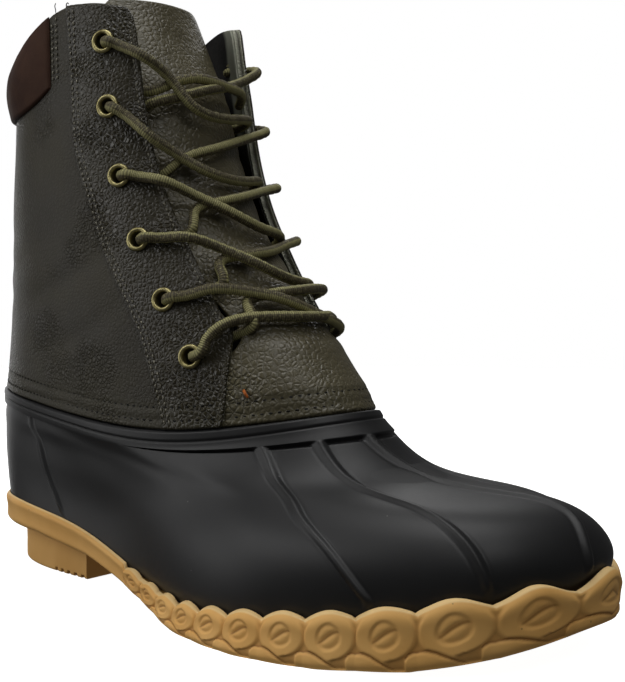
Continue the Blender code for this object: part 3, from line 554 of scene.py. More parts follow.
# line under the links: share of the way to the next link towards the toe, share of the height down
waveLine = np.array([
    (0.33, 0.76), (0.37, 0.69), (0.44, 0.655), (0.55, 0.65), (0.65, 0.675),
    (0.78, 0.74), (0.95, 0.84), (1.15, 0.96), (1.20, 1.0),
])


# number of the link, toe first, as a running value, and how much of the pattern there is
def linkPlaces(run):
    widths = np.interp(np.arange(soleLook["links"]), soleLook["linkNumbers"], soleLook["linkWidths"])
    ends = np.cumsum(widths) - widths[0] / 2.0
    middles = ends - widths / 2.0
    numbers = np.append(np.arange(len(middles)), len(middles) - 0.5)
    number = np.interp(run, np.append(middles, ends[-1]), numbers)
    return number, 1.0 - smooth(ends[-1] - 1.0, ends[-1] + 0.5, run)


def linkRelief(number, down):    # depth of the chain pattern below the links' faces, and the shade painted into its hollows
    toeward = 2.0 * (np.round(number) - number)
    level = (down - linkLook["middle"]) / linkLook["height"]
    half = linkLook["width"] * np.sqrt(np.maximum(1.0 - level ** 2, 0.0)) + linkLook["edge"]
    valley = smooth(-0.05, 0.12, np.abs(toeward) - half)
    # the opening of a link holds two leaves that meet along a slanting crease
    lower = down - linkLook["openMiddle"]
    opening = np.hypot(toeward / linkLook["openWidth"], lower / linkLook["openHeight"])
    pan = 1.0 - smooth(0.80, 1.08, opening)
    slant = lower + linkLook["slant"] * toeward - linkLook["bend"] * toeward ** 3
    leaf = smooth(0.0, 0.10, np.abs(slant)) * (1.0 - smooth(0.45, 0.95, opening))
    crease = pan * (1.0 - smooth(0.008, 0.05, np.abs(slant)))
    line = np.zeros(np.shape(number))
    below = np.zeros(np.shape(number))
    for extra in (0.0, 1.0):
        way = np.ceil(number) + extra - number
        level = np.interp(way, waveLine[:, 0], waveLine[:, 1], left=2.0, right=2.0)
        line = np.maximum(line, np.exp(-((down - level) / linkLook["lineWidth"]) ** 2))
        below = np.maximum(below, smooth(level, level + 0.07, down))
    above = 1.0 - below
    deep = soleLook["valley"] * valley * above + soleLook["pan"] * pan * (1.0 - 0.8 * leaf) * above
    deep = np.maximum(deep, soleLook["line"] * line) + 0.2 * below
    # painted shade: the valleys, the line under the links, the creases and the pans are painted darker
    paintedShades = [
        linkLook["valleyShade"] * valley * above, linkLook["lineShade"] * line,
        linkLook["creaseShade"] * crease * above, linkLook["panShade"] * pan * (1.0 - leaf) * above,
    ]
    return deep, np.max(paintedShades, axis=0)


def rimRow(angle):    # row of the last at the height of the sole's rim
    height = through(soleRows[:, 0], soleRows[:, 4], shareOf(angle))
    rows = np.linspace(0.0, 2.0, 41)
    levels = np.stack([lastPoint(angle, np.full(len(angle), row))[:, 2] for row in rows], axis=-1)
    return np.array([np.interp(z, level, rows) for z, level in zip(height, levels)])


def makeSole():
    dense = np.linspace(pi, 0.0, 3000)
    runDense = runOf(soleOutline(-dense, 0.0))
    lobedRun = soleLook["lobedRun"]    # from the toe back along the rand
    count = soleLook["fineColumns"] + soleLook["plainColumns"]
    places = np.concatenate([np.linspace(0.0, lobedRun, soleLook["fineColumns"], endpoint=False),
                             np.linspace(lobedRun, runDense[-1], soleLook["plainColumns"] + 1)])
    half = np.interp(places, runDense, dense)
    angle = np.concatenate([-half, half[-2:0:-1]])
    run = np.interp(-np.abs(angle), -dense, runDense)
    number, lobed = linkPlaces(run)
    across = 2.0 * (number - np.round(number))
    wave = 0.5 + 0.5 * np.cos(pi * across)
    rounded = np.sqrt(np.maximum(1.0 - (0.96 * across) ** 2, 0.0))
    arch = (rounded + (wave - rounded) * np.interp(number, (1.0, 2.5), (0.75, 0.25))) * lobed
    scallop = np.interp(number, soleLook["scallopAt"], soleLook["scallop"])
    dip = scallop * (arch - soleLook["scallopLevel"]) * lobed
    bulge = soleLook["bulge"] * arch
    share = shareOf(angle)
    under = np.interp(share, soleRows[:, 0], soleRows[:, 3])
    flare = np.where(angle < 0.0, np.interp(share, soleRows[:, 0], soleRows[:, 5]), 0.0)
    bed = skin(angle, 0.0)
    bed[:, 2] -= soleLook["bedDrop"]
    row = rimRow(angle)
    rim = skin(angle, row, soleLook["gap"])
    rim[:, 2] = np.maximum(rim[:, 2] + dip, bed[:, 2] + soleLook["leastRim"])
    wall = skin(angle, np.minimum(0.85 * row, 1.0), soleLook["gap"])
    wall[:, 2] = np.minimum(wall[:, 2], rim[:, 2]) - soleLook["bedDrop"]
    rings = [bed, wall, rim]
    # the rim ring carries the lip's painted highlight
    paintedShadeAndHighlightRings = [np.zeros(len(angle)), np.zeros(len(angle)), np.full(len(angle), soleLook["lip"])]
    top = rim[:, 2] - soleLook["rimDrop"]
    downs = np.concatenate([[0.0, 0.012, 0.03], np.linspace(0.055, 0.95, 38), [0.975, 0.99, 1.0]])
    for down in downs:
        inset = through(soleLook["sideDown"], soleLook["sideInset"], down) - flare * down
        # dark is the painted shade for the chain pattern's hollows at this height
        deep, dark = linkRelief(number, down)
        shown = lobed * smooth(0.0, 0.15, down) * (1.0 - smooth(0.96, 1.0, down))
        level = top + (under - top) * down
        rings.append(np.column_stack([soleOutline(angle, inset - bulge + deep * shown), level]))
        # painted shade in the chain pattern's hollows, and the lip's painted highlight near the top of the
        # side
        paintedShadeAndHighlightRings.append(dark * shown + soleLook["lip"] * (1.0 - smooth(0.0, 0.05, down)))
    columns = len(angle)
    points = np.concatenate(rings)
    paintedShadeAndHighlight = np.concatenate(paintedShadeAndHighlightRings)
    faces = gridFaces(len(rings), columns, False, True)
    # bed and underside run across from the outer side to the inner side
    over = np.linspace(0.0, 1.0, soleLook["columnsOver"])[1:-1]
    width = len(over)
    partner = (columns - np.arange(count + 1)) % columns
    for ring, isUnder in ((0, False), (len(rings) - 1, True)):
        first = points[ring * columns:(ring + 1) * columns]
        inside = first[:count + 1, None] * (1.0 - over[:, None]) + first[partner][:, None] * over[:, None]
        cutting = np.zeros(inside.shape[:2])
        if isUnder:
            forefoot = smooth(*soleLook["barsFrom"], share[:count + 1])[:, None]
            bars = smooth(*soleLook["barEdge"], np.abs(across[:count + 1])) * lobed[:count + 1]
            middle = np.exp(-((over - 0.5) / soleLook["middleGroove"]) ** 2)
            cutting = np.maximum(bars[:, None] * forefoot, middle * forefoot) * np.sin(pi * over) ** 0.25
            inside[..., 2] = under[:count + 1, None] + soleLook["barGroove"] * cutting
        start = len(points)
        inside, cutting = inside[1:count], cutting[1:count]
        points = np.concatenate([points, inside.reshape(-1, 3)])
        # painted shade in the cuts between the bars underneath
        paintedShadeAndHighlight = np.concatenate([paintedShadeAndHighlight, 0.8 * cutting.ravel()])
        ladder = [[ring * columns + j] + [start + (j - 1) * width + k for k in range(width)]
                  + [ring * columns + int(partner[j])] for j in range(1, count)]
        for before, after in zip(ladder[:-1], ladder[1:]):
            faces += [[before[k], before[k + 1], after[k + 1], after[k]] for k in range(width + 1)]
        for tip, row in ((0, ladder[0]), (count, ladder[-1])):
            faces += [[ring * columns + tip, row[k], row[k + 1]] for k in range(width + 1)]
    newPiece("gumSole", points, faces, paints["gum"], ["outsole"], {"paintedShadeAndHighlight": paintedShadeAndHighlight})


heelLook = {
    "breast": -70.0, "inset": 9.0, "seat": 0.8, "notches": 5, "pitch": 0.040, "width": 0.015,
    "rise": 1.6, "depth": 1.6, "notchedPart": 0.24,
}


def makeHeel():
    breast = float(angleOf(heelLook["breast"] / soleLength + 0.5))
    plainStart = breast - heelLook["notchedPart"]
    half = np.concatenate([np.linspace(breast, plainStart, 150), np.linspace(plainStart, 0.0, 70)[1:]])
    angle = np.concatenate([-half, half[-2::-1]])
    place = np.abs(angle)
    cut = np.zeros(len(angle))
    for i in range(heelLook["notches"]):
        middle = breast - (i + 0.35) * heelLook["pitch"] - heelLook["width"] / 2.0
        cut = np.maximum(cut, 1.0 - smooth(0.40, 0.62, np.abs(place - middle) / heelLook["width"]))
    seat = np.interp(shareOf(angle), soleRows[:, 0], soleRows[:, 3]) + heelLook["seat"]
    notchTop = heelLook["rise"] / float(seat.mean())
    levels = [    # share of the height, inset
        (1.0, 0.0), (0.93, 0.0), (0.70, 0.25), (0.45, 0.35), (0.20, 0.3),
        (notchTop * 1.2, 0.3), (notchTop, 0.3), (notchTop * 0.8, 0.3), (0.03, 0.4), (0.0, 0.9),
    ]
    rings, paintedShadeAndHighlightRings = [], []
    for level, inset in levels:
        inNotch = cut * (1.0 - smooth(notchTop * 0.8, notchTop * 1.2, level))
        plan = soleOutline(angle, heelLook["inset"] + inset + heelLook["depth"] * inNotch)
        rings.append(np.column_stack([plan, seat * level]))
        # painted shade in the notches and along the block's top, where it meets the sole
        paintedShadeAndHighlightRings.append(0.7 * inNotch + 0.5 * smooth(0.80, 1.0, level))
    columns = len(angle)
    points = np.concatenate(rings)
    faces = gridFaces(len(rings), columns, False, True)
    for ring in (0, len(rings) - 1):
        first = ring * columns
        for j in range(columns // 2):
            corners = [j, j + 1, columns - 2 - j, columns - 1 - j]
            faces.append([first + corner for corner in dict.fromkeys(corners)])
    marks = {"paintedShadeAndHighlight": np.concatenate(paintedShadeAndHighlightRings)}
    newPiece("heelBlock", points, faces, paints["gum"], (), marks)


makeSole()
makeHeel()
print("gum sole ready")

# rubber bottom
shellLook = {
    "wall": 3.0, "columnsPerRadian": 62, "band": 6.02, "bandStep": 0.95, "lip": 6.93, "bead": 6.70,
    "ribHeight": 1.2, "ribFoot": (1.6, 1.1), "ribHalf": 2.4, "slot": 1.1,
    "flange": (-2.8, -4.3), "flangeTop": 7.42, "top": 6.99,
    "beadDepth": 0.42, "beadWidth": 0.045, "aboveBead": 0.15, "lipDrop": 0.9,
}
ribRows = (6.4, 5.5, 4.6, 3.6, 2.6, 1.3)
ribs = np.array([    # angle of each rib at those rows, outer side negative
    (-3.005, -3.025, -3.190, -3.170, -3.050, -3.015),
    (-2.688, -2.638, -2.580, -2.543, -2.576, -2.612),
    (-2.390, -2.345, -2.210, -2.105, -2.155, -2.262),
    (-1.065, -1.030, -0.990, -0.968, -0.975, -1.060),
    (1.065, 1.030, 0.990, 0.968, 0.975, 1.060),
    (2.390, 2.345, 2.210, 2.105, 2.155, 2.262),
    (2.700, 2.652, 2.600, 2.575, 2.610, 2.640),
])
acrossRib = np.linspace(-2.3, 2.3, 23)    # columns over a rib, in half widths


def shellRow(height, counts):    # angles of one row, with the columns gathered along the ribs
    row = np.clip(height, ribRows[-1], ribRows[0])
    middles = through(ribRows[::-1], ribs.T[::-1], np.array([row]))[0]
    perRadian = np.linalg.norm(skin(middles + 0.01, height) - skin(middles - 0.01, height), axis=-1) / 0.02
    half = shellLook["ribHalf"] * np.interp(height, (1.3, 3.0, 6.0), (0.75, 1.0, 1.05)) / perRadian
    after = np.append(middles[1:], middles[0] + 2.0 * pi)
    afterHalf = np.append(half[1:], half[0])
    angles = []
    for i, count in enumerate(counts):
        angles.append(middles[i] + half[i] * acrossRib)
        start, end = middles[i] + half[i] * acrossRib[-1], after[i] + afterHalf[i] * acrossRib[0]
        angles.append(start + (end - start) * np.linspace(0.0, 1.0, count + 2)[1:-1])
    return np.concatenate(angles)


def makeShell():
    spans = np.diff(np.append(ribs[:, 0], ribs[0, 0] + 2.0 * pi))
    counts = np.maximum(6, (spans * shellLook["columnsPerRadian"]).astype(int) - 6)
    gap = np.concatenate([np.concatenate([np.abs(acrossRib), np.full(count, 9.0)]) for count in counts])
    crest = (0.5 + 0.5 * np.cos(pi * np.minimum(gap / 1.15, 1.0))) ** 0.75 * shellLook["ribHeight"]
    crest -= 0.10 * np.exp(-((gap - 1.35) / 0.25) ** 2)
    foot = np.where(np.abs(ribs[:, 0]) < 1.5, *shellLook["ribFoot"])
    foot = np.repeat(foot, counts + len(acrossRib))
    band, step = shellLook["band"], shellLook["bandStep"]
    lip, top = shellLook["lip"], shellLook["top"]
    heights = np.concatenate([
        np.linspace(0.03, band - 0.24, 76), np.linspace(band - 0.21, band + 0.08, 15),
        np.linspace(band + 0.14, 6.58, 7), np.linspace(6.61, lip, 12), np.linspace(lip + 0.01, top, 6),
    ])
    rings = []
    for height in heights:
        onBand = smooth(band - 0.045, band + 0.02, height)
        rib = crest * smooth(foot - 0.15, foot + 0.4, height)
        slot = np.exp(-((height - (band - 0.06)) / 0.045) ** 2)
        under = -shellLook["slot"] * slot * smooth(1.0, 1.5, gap)
        out = (rib + under) * (1.0 - onBand) + step * onBand
        beadGap = height - shellLook["bead"]
        out = out - shellLook["beadDepth"] * onBand * np.exp(-(beadGap / shellLook["beadWidth"]) ** 2)
        aboveBead = smooth(shellLook["bead"], shellLook["bead"] + 0.1, height)
        out = out + shellLook["aboveBead"] * onBand * aboveBead
        out = out - shellLook["lipDrop"] * max(0.0, (height - lip) / (top - lip)) ** 2
        rings.append(skin(shellRow(height, counts), height, out))
    outer, inner = shellLook["flange"]
    flangeTop = shellLook["flangeTop"]
    hidden = [(6.995, outer), (flangeTop, outer), (flangeTop, inner), (6.7, inner)]
    hidden += [(v, -shellLook["wall"]) for v in (5.8, 4.6, 3.4, 2.2, 1.0)]
    rings += [skin(shellRow(height, counts), height, out) for height, out in hidden]
    faces = gridFaces(len(rings), len(gap), True, True)
    points = np.concatenate(rings)
    newPiece("rubberShell", points, faces, paints["rubber"], ["rubber_shell"])


makeShell()
print("rubber shell ready")

# leather shaft
shaftLook = {
    "leather": 2.0, "stay": 1.2, "stayThick": 1.35, "edgeRadius": 0.9,
    "stitchRows": (4.0, 8.6), "pucker": 0.24, "stitch": 3.3,    # above the lower edge
    "betweenRows": 0.08, "lowerRoll": (1.2, 0.12), "rollWidth": 1.3, "strip": (10.2, 11.6),
    "foot": 7.012, "stripTop": 7.46, "top": 11.995, "innerRise": 5.0,
    "outerAngles": (1.15, 1.45, 1.60, 1.75, 1.92, 2.3), "outerRises": (0.0, 2.2, 3.3, 3.2, 2.0, 1.6),
}
eyeletLook = {
    "rows": (11.588, 10.796, 9.888, 9.109, 8.433, 7.854),    # top first
    "shares": (0.748, 0.750, 0.764, 0.773, 0.780, 0.795),
    "flange": 4.85, "bore": 3.0, "hole": 3.75,
}
eyeletPlaces = list(zip(eyeletLook["rows"], eyeletLook["shares"]))
stitchLook = {    # seamGaps and edgeGap lie in from the eyestay's two edges
    "radius": 0.33, "length": 1.5, "pitch": 2.4, "sides": 6, "seamGaps": (1.6, 3.9), "edgeGap": 2.8,
    "padGaps": (0.03, 0.075), "padRows": (11.2, 11.93),
    "sunk": 0.25, "drawnIn": 0.35,    # depth on the eyestay and along the leather's foot
}


def rowsAbove(angle, distance):    # row at a distance above the lower edge of the leather
    start, step = 7.0, 0.25
    height = np.linalg.norm(skin(angle, start + step) - skin(angle, start), axis=-1)
    return start + distance * step / height


def puckers(points, distance):    # leather drawn in along the two seams at its lower edge
    run = runAcross(points)
    drawn = np.zeros(distance.shape)
    for k, seam in enumerate(shaftLook["stitchRows"]):
        beat = 0.5 + 0.5 * np.cos(2.0 * pi * run / shaftLook["stitch"] + 1.7 * k)
        drawn -= shaftLook["pucker"] * np.exp(-((distance - seam) / 1.0) ** 2) * (0.35 + 0.65 * beat)
    middle = sum(shaftLook["stitchRows"]) / 2.0
    for place, height in ((middle, shaftLook["betweenRows"]), shaftLook["lowerRoll"]):
        drawn += height * np.exp(-((distance - place) / shaftLook["rollWidth"]) ** 2)
    return drawn


def stripOf(distance):
    return 1.0 - smooth(*shaftLook["strip"], distance)


def shaftRows():
    low = np.linspace(shaftLook["foot"], shaftLook["stripTop"], 30)
    high = np.linspace(7.49, shaftLook["top"], 92)
    return np.concatenate([low, high])


shaftCreases = [    # places as angle and row, then width and depth
    ([(-0.55, 8.55), (-1.0, 8.45), (-1.45, 8.62), (-1.85, 8.95)], 5.0, 0.9),
    ([(-0.75, 9.25), (-1.15, 9.1), (-1.6, 9.3)], 6.0, 0.7),
    ([(-1.2, 7.9), (-1.55, 8.05), (-1.9, 8.4)], 4.5, 0.6),
    ([(-0.2, 8.8), (-0.5, 8.95), (-0.8, 8.85)], 5.0, 0.6),
]


def creased(points, sign):
    out = np.zeros(points.shape[:-1])
    for places, width, depth in shaftCreases:
        path = skin(np.array([a for a, _ in places]) * -sign, np.array([v for _, v in places]))
        out += trough(points, path, width, depth)
    return out


def topRise(angle, height):    # the top edge climbs from the cuff to the eyestays
    angle = np.asarray(angle, float)
    inner = shaftLook["innerRise"] * smooth(1.3, 2.1, angle)
    outer = np.interp(-angle, shaftLook["outerAngles"], shaftLook["outerRises"])
    return (inner + outer) * smooth(11.55, 12.0, height)


def leatherSheet(name, angle, height, out, thick, paint, strip, nodes=(), sides="tblr"):
    drop = edgeDrop(skin(angle, height), min(shaftLook["edgeRadius"], thick * 0.48), sides)
    outer = skin(angle, height, out - drop)
    inner = skin(angle, height, np.asarray(out) - thick + drop * 0.5)
    for sheet in (outer, inner):
        sheet[..., 2] += topRise(angle, height)
    points = np.concatenate([outer.reshape(-1, 3), inner.reshape(-1, 3)])
    marks = {"strip": np.tile(strip.ravel(), 2), "back": np.repeat((0.0, 1.0), strip.size)}
    return newPiece(name, points, sheetFaces(*angle.shape), paint, nodes, marks)


def cutHoles(piece, sign):
    cutter = bmesh.new()
    hole = eyeletLook["hole"]
    turns = np.linspace(0.0, 2.0 * pi, 20, endpoint=False)
    for row, share in eyeletPlaces:
        angle = sign * float(angleOf(share))
        centre, axis = Vector(skin(angle, row, 0.0)), Vector(skinNormal(angle, row))
        turn = axis.to_track_quat("Z", "Y").to_matrix()
        loops = []
        for reach in (-7.0, 7.0):
            ring = [Vector((hole * math.cos(a), hole * math.sin(a), reach)) for a in turns]
            loops.append([cutter.verts.new((centre + turn @ spot) * mm) for spot in ring])
        for k in range(len(turns)):
            after = (k + 1) % len(turns)
            cutter.faces.new((loops[0][k], loops[0][after], loops[1][after], loops[1][k]))
        cutter.faces.new(loops[0][::-1])
        cutter.faces.new(loops[1])
    bmesh.ops.recalc_face_normals(cutter, faces=cutter.faces)
    mesh = bpy.data.meshes.new("holeForm")
    cutter.to_mesh(mesh)
    cutter.free()
    form = bpy.data.objects.new("holeForm", mesh)
    bpy.context.scene.collection.objects.link(form)
    cut = piece.modifiers.new("holes", "BOOLEAN")
    cut.operation = "DIFFERENCE"
    cut.solver = "EXACT"
    cut.object = form
    depsgraph = bpy.context.evaluated_depsgraph_get()
    done = bpy.data.meshes.new_from_object(piece.evaluated_get(depsgraph))
    piece.modifiers.clear()
    old = piece.data
    piece.data = done
    bpy.data.meshes.remove(old)
    done.name = piece.name
    bpy.data.objects.remove(form, do_unlink=True)
    bpy.data.meshes.remove(mesh)


def makeQuarter(side, sign):
    rows = shaftRows()
    edge = lineAngle(throatLine, rows) - 0.035
    places = spread(170, 0.006)
    angle = sign * edge[:, None] * places[None, :]
    height = np.broadcast_to(rows[:, None], angle.shape)
    base = skin(angle, height)
    distance = np.linalg.norm(base - base[:1], axis=-1)
    out = puckers(base, distance) + creased(base, sign) + 0.35 * wavy(base, 22.0)
    underStay = smooth(0.0, 0.05, np.abs(angle) - lineAngle(seamLine, rows)[:, None])
    out = out * (1.0 - underStay) - 0.25 * underStay
    nodes = ["shaft"] if side == "Outer" else []
    piece = leatherSheet("quarter" + side, angle, height, out, shaftLook["leather"], paints["quarter"],
                         stripOf(distance), nodes, sides="tb")
    cutHoles(piece, sign)


def makeStay(side, sign):
    rows = np.concatenate([
        np.linspace(shaftLook["foot"], shaftLook["stripTop"], 26),
        np.linspace(7.5, 11.7, 96), np.linspace(11.73, shaftLook["top"], 14),
    ])
    edge, seam = lineAngle(throatLine, rows), lineAngle(seamLine, rows)
    places = spread(40, 0.03)
    angle = sign * (seam[:, None] + (edge - seam)[:, None] * places[None, :])
    height = np.broadcast_to(rows[:, None], angle.shape)
    base = skin(angle, height)
    distance = np.linalg.norm(base - base[:1], axis=-1)
    seamGap = runAcross(base)
    edgeGap = seamGap[:, -1:] - seamGap
    out = shaftLook["stay"] + puckers(base, distance) * 0.7 + 0.3 * wavy(base, 15.0, 1.0)
    for gap in stitchLook["seamGaps"]:
        out = out - 0.28 * np.exp(-((seamGap - gap) / 0.7) ** 2)
    out = out - 0.30 * np.exp(-((edgeGap - stitchLook["edgeGap"]) / 0.9) ** 2)
    out = out + 0.25 * np.exp(-((edgeGap - 1.0) / 1.0) ** 2)
    thick = shaftLook["stayThick"]
    piece = leatherSheet("eyestay" + side, angle, height, out, thick, paints["stay"], stripOf(distance))
    cutHoles(piece, sign)


for sideName, sideSign in (("Outer", -1.0), ("Inner", 1.0)):
    makeQuarter(sideName, sideSign)
    makeStay(sideName, sideSign)
print("quarters and eyestays ready")

# tongue: row, share of the depth at its edges, depth under the quarters, lean back, rise of its middle
tongueRows = np.array([
    (7.02, 0.823, 0.0, 0.0, 0.0), (7.45, 0.856, 0.0, -1.2, 0.0), (7.95, 0.897, 1.2, -1.0, 0.0),
    (8.15, 0.909, 2.2, 0.2, 0.0), (8.40, 0.896, 2.9, 1.6, 0.0), (9.00, 0.860, 2.9, 5.0, 0.0),
    (10.0, 0.845, 2.9, 7.0, 0.0), (11.0, 0.845, 2.9, 10.0, 0.0), (11.6, 0.845, 2.9, 13.8, 0.6),
    (12.0, 0.845, 2.9, 17.0, 2.2), (12.30, 0.85, 2.9, 19.0, 4.4), (12.52, 0.885, 2.9, 20.0, 6.0),
])
tongueLook = {
    "wall": 2.6, "rows": 150, "columns": 64, "tuck": 0.045,
    "wave": 0.5, "swell": 0.5, "edgeRadius": 1.1,
    "pressed": 0.58, "pressWidth": 0.09,    # by the lace, between two eyelets
}


def tongueColumn(row, column):
    return np.interp(row, tongueRows[:, 0], tongueRows[:, column])


def tonguePoint(angle, height, out):
    points = skin(angle, height, out - tongueColumn(height, 2))
    away = pi - np.abs((np.asarray(angle) + pi) % (2.0 * pi) - pi)
    place = away / (pi - angleOf(tongueColumn(height, 1)))
    points[..., 0] -= tongueColumn(height, 3)
    points[..., 2] += tongueColumn(height, 4) * (1.0 - 1.5 * place ** 2)
    return points


def makeTongue():
    rows = np.concatenate([
        np.linspace(shaftLook["foot"], shaftLook["stripTop"], 24),
        np.linspace(7.5, 12.44, tongueLook["rows"]), np.linspace(12.46, tongueRows[-1, 0], 4),
    ])
    tuck = tongueLook["tuck"] * (1.0 - smooth(7.7, 8.1, rows))
    reach = pi - angleOf(tongueColumn(rows, 1) - tuck)
    places = 2.0 * spread(tongueLook["columns"], 0.02) - 1.0
    away = reach[:, None] * places[None, :]
    angle = np.where(places < 0.0, -pi - away, pi - away)
    height = np.broadcast_to(rows[:, None], angle.shape)
    base = tonguePoint(angle, height, np.zeros(angle.shape))
    distance = np.linalg.norm(base - base[:1], axis=-1)
    out = puckers(base, distance) + tongueLook["wave"] * wavy(base, 12.0, 2.0)
    out = out * (1.0 - 0.6 * smooth(0.86, 1.0, np.abs(places))[None, :])
    for row, after in zip(eyeletLook["rows"][:-1], eyeletLook["rows"][1:]):
        pressed = row + tongueLook["pressed"] * (after - row)
        swell = np.sin(pi * np.clip((height - after) / (row - after), 0.0, 1.0))
        dent = np.exp(-((height - pressed) / tongueLook["pressWidth"]) ** 2)
        out = out + tongueLook["swell"] * (1.0 - dent) * swell
    drop = edgeDrop(base, tongueLook["edgeRadius"])
    outer = tonguePoint(angle, height, out - drop)
    inner = tonguePoint(angle, height, -tongueLook["wall"] + 0.4 * drop)
    points = np.concatenate([outer.reshape(-1, 3), inner.reshape(-1, 3)])
    marks = {"strip": np.tile(stripOf(distance).ravel(), 2)}
    faces = sheetFaces(*angle.shape)
    newPiece("laceTongue", points, faces, paints["tongue"], ["tongue"], marks)


makeTongue()
print("tongue ready")

# padded cuff
padLook = {
    "endShare": 0.505, "lowEnd": 11.14, "lowBack": 10.81, "top": 12.0,
    "swell": 4.8, "edge": 0.8, "edgeRadius": 1.1, "gap": 0.3, "wave": 0.35, "rise": 0.8,
}


def makePad():
    reach = float(angleOf(padLook["endShare"]))
    around = 2.0 * spread(120, 0.012) - 1.0
    upward = spread(46, 0.03)
    low = padLook["lowBack"] + (padLook["lowEnd"] - padLook["lowBack"]) * np.abs(around) ** 6
    height = low[None, :] + (padLook["top"] - low)[None, :] * upward[:, None]
    angle = np.broadcast_to(reach * around[None, :], height.shape)
    base = skin(angle, height)
    rise = np.sin(pi * (0.06 + 0.91 * upward))[:, None] ** 0.9 * (1.0 - np.abs(around) ** 8)[None, :]
    out = padLook["gap"] + padLook["edge"] + (padLook["swell"] - padLook["edge"]) * rise
    out = out + padLook["wave"] * wavy(base, 9.0, 3.0) * rise - edgeDrop(base, padLook["edgeRadius"])
    inner = skin(angle, height, padLook["gap"])
    points = np.concatenate([skin(angle, height, out).reshape(-1, 3), inner.reshape(-1, 3)])
    points[:, 2] += np.tile(padLook["rise"] * topRise(angle, height).ravel(), 2)
    faces = sheetFaces(*height.shape)
    piece = newPiece("collarPad", points, faces, paints["cuff"], ["collar_pad"])


makePad()
print("cuff ready")

# lining and insole
liningLook = {
    "thick": 0.8,
    "rows": (0.3, 6.3, 6.8, 7.5, 7.9, 12.0), "outs": (-3.4, -3.4, -4.7, -4.7, -2.35, -2.35),
}


def liningOut(height):
    return np.interp(height, liningLook["rows"], liningLook["outs"])


def makeLining():
    rows = np.linspace(7.46, 11.985, 60)
    edge = lineAngle(throatLine, rows) - 0.05
    angle = edge[:, None] * np.linspace(-1.0, 1.0, 121)[None, :]
    height = np.broadcast_to(rows[:, None], angle.shape)
    out = liningOut(height)
    sheets = [skin(angle, height, out), skin(angle, height, out - liningLook["thick"])]
    for sheet in sheets:
        sheet[..., 2] += topRise(angle, height)
    points = np.concatenate([sheet.reshape(-1, 3) for sheet in sheets])
    throat = skin(np.sign(angle) * edge[:, None], height)
    beside = np.linalg.norm(sheets[0] - throat, axis=-1)
    # painted highlight: the lining's top beside the throat is painted pale; lower down it keeps its dark
    # colour
    pale = (1.0 - smooth(10.0, 13.0, beside)) * smooth(10.0, 11.2, height)
    marks = {"pale": np.tile(pale.ravel(), 2)}
    newPiece("shaftLining", points, sheetFaces(*angle.shape), paints["lining"], (), marks)
    heights = np.concatenate([np.linspace(0.9, 7.44, 40), np.linspace(7.44, 0.9, 40)])
    thick = np.concatenate([np.zeros(40), np.full(40, liningLook["thick"])])
    around = np.linspace(-pi, pi, 160, endpoint=False)
    rings = [skin(around, height, liningOut(height) - extra) for height, extra in zip(heights, thick)]
    faces = gridFaces(len(rings), len(around), True, True)
    marks = {"pale": np.zeros(len(rings) * len(around))}
    newPiece("shellLining", np.concatenate(rings), faces, paints["lining"], (), marks)


gussetLook = {"low": 8.25, "high": 11.45, "back": 0.69, "thick": 0.7, "fold": 6.0}


def makeGusset(side, sign):    # folded web between the tongue's edge and the lining
    rows = np.linspace(gussetLook["low"], gussetLook["high"], 50)
    places = np.linspace(0.0, 1.0, 16)
    reach = sign * angleOf(tongueColumn(rows, 1) + 0.012)
    front = tonguePoint(reach, rows, np.full(len(rows), -1.9))
    back = skin(np.full(len(rows), sign * float(angleOf(gussetLook["back"]))), rows, -3.6)
    inward = skinNormal(sign * angleOf(np.full(len(rows), 0.76)), rows)
    sheets = []
    for deeper in (0.0, gussetLook["thick"]):
        dip = gussetLook["fold"] * np.sin(pi * places) ** 0.8 + deeper
        flat = front[:, None] * (1.0 - places[:, None]) + back[:, None] * places[:, None]
        sheets.append(flat - inward[:, None] * dip[:, None])
    points = np.concatenate([sheet.reshape(-1, 3) for sheet in sheets])
    newPiece("gusset" + side, points, sheetFaces(len(rows), len(places)), paints["gusset"])


insoleLook = {"inset": 3.6, "thick": 4.0, "gap": 0.3}


def featherPlan(angle):    # lowest row of the last, seen from above
    return rowPoints(0, angle)[..., :2]


def makeInsole():
    count = 100
    half = np.linspace(pi, 0.0, count + 1)
    feather = lastRows[0]
    outer, inner = (movedIn(featherPlan, side * half, insoleLook["inset"]) for side in (-1.0, 1.0))
    across = np.linspace(0.0, 1.0, 31)
    plane = outer[:, None] * (1.0 - across[:, None]) + inner[:, None] * across[:, None]
    share = (plane[..., 0] - feather[0]) / (feather[1] - feather[0])
    bed = through(heightShares, feather[5:], share.ravel()).reshape(share.shape) + insoleLook["gap"]
    crown = insoleLook["thick"] + 0.5 * (np.abs(across - 0.5) * 2.0)[None, :] ** 4 - 0.3
    top = np.dstack([plane, bed + crown])
    low = np.dstack([plane, bed])
    points = np.concatenate([top.reshape(-1, 3), low.reshape(-1, 3)])
    newPiece("feltInsole", points, sheetFaces(*share.shape), paints["felt"], ["insole"])


makeLining()
makeInsole()
for sideName, sideSign in (("Outer", -1.0), ("Inner", 1.0)):
    makeGusset(sideName, sideSign)
print("lining and insole ready")


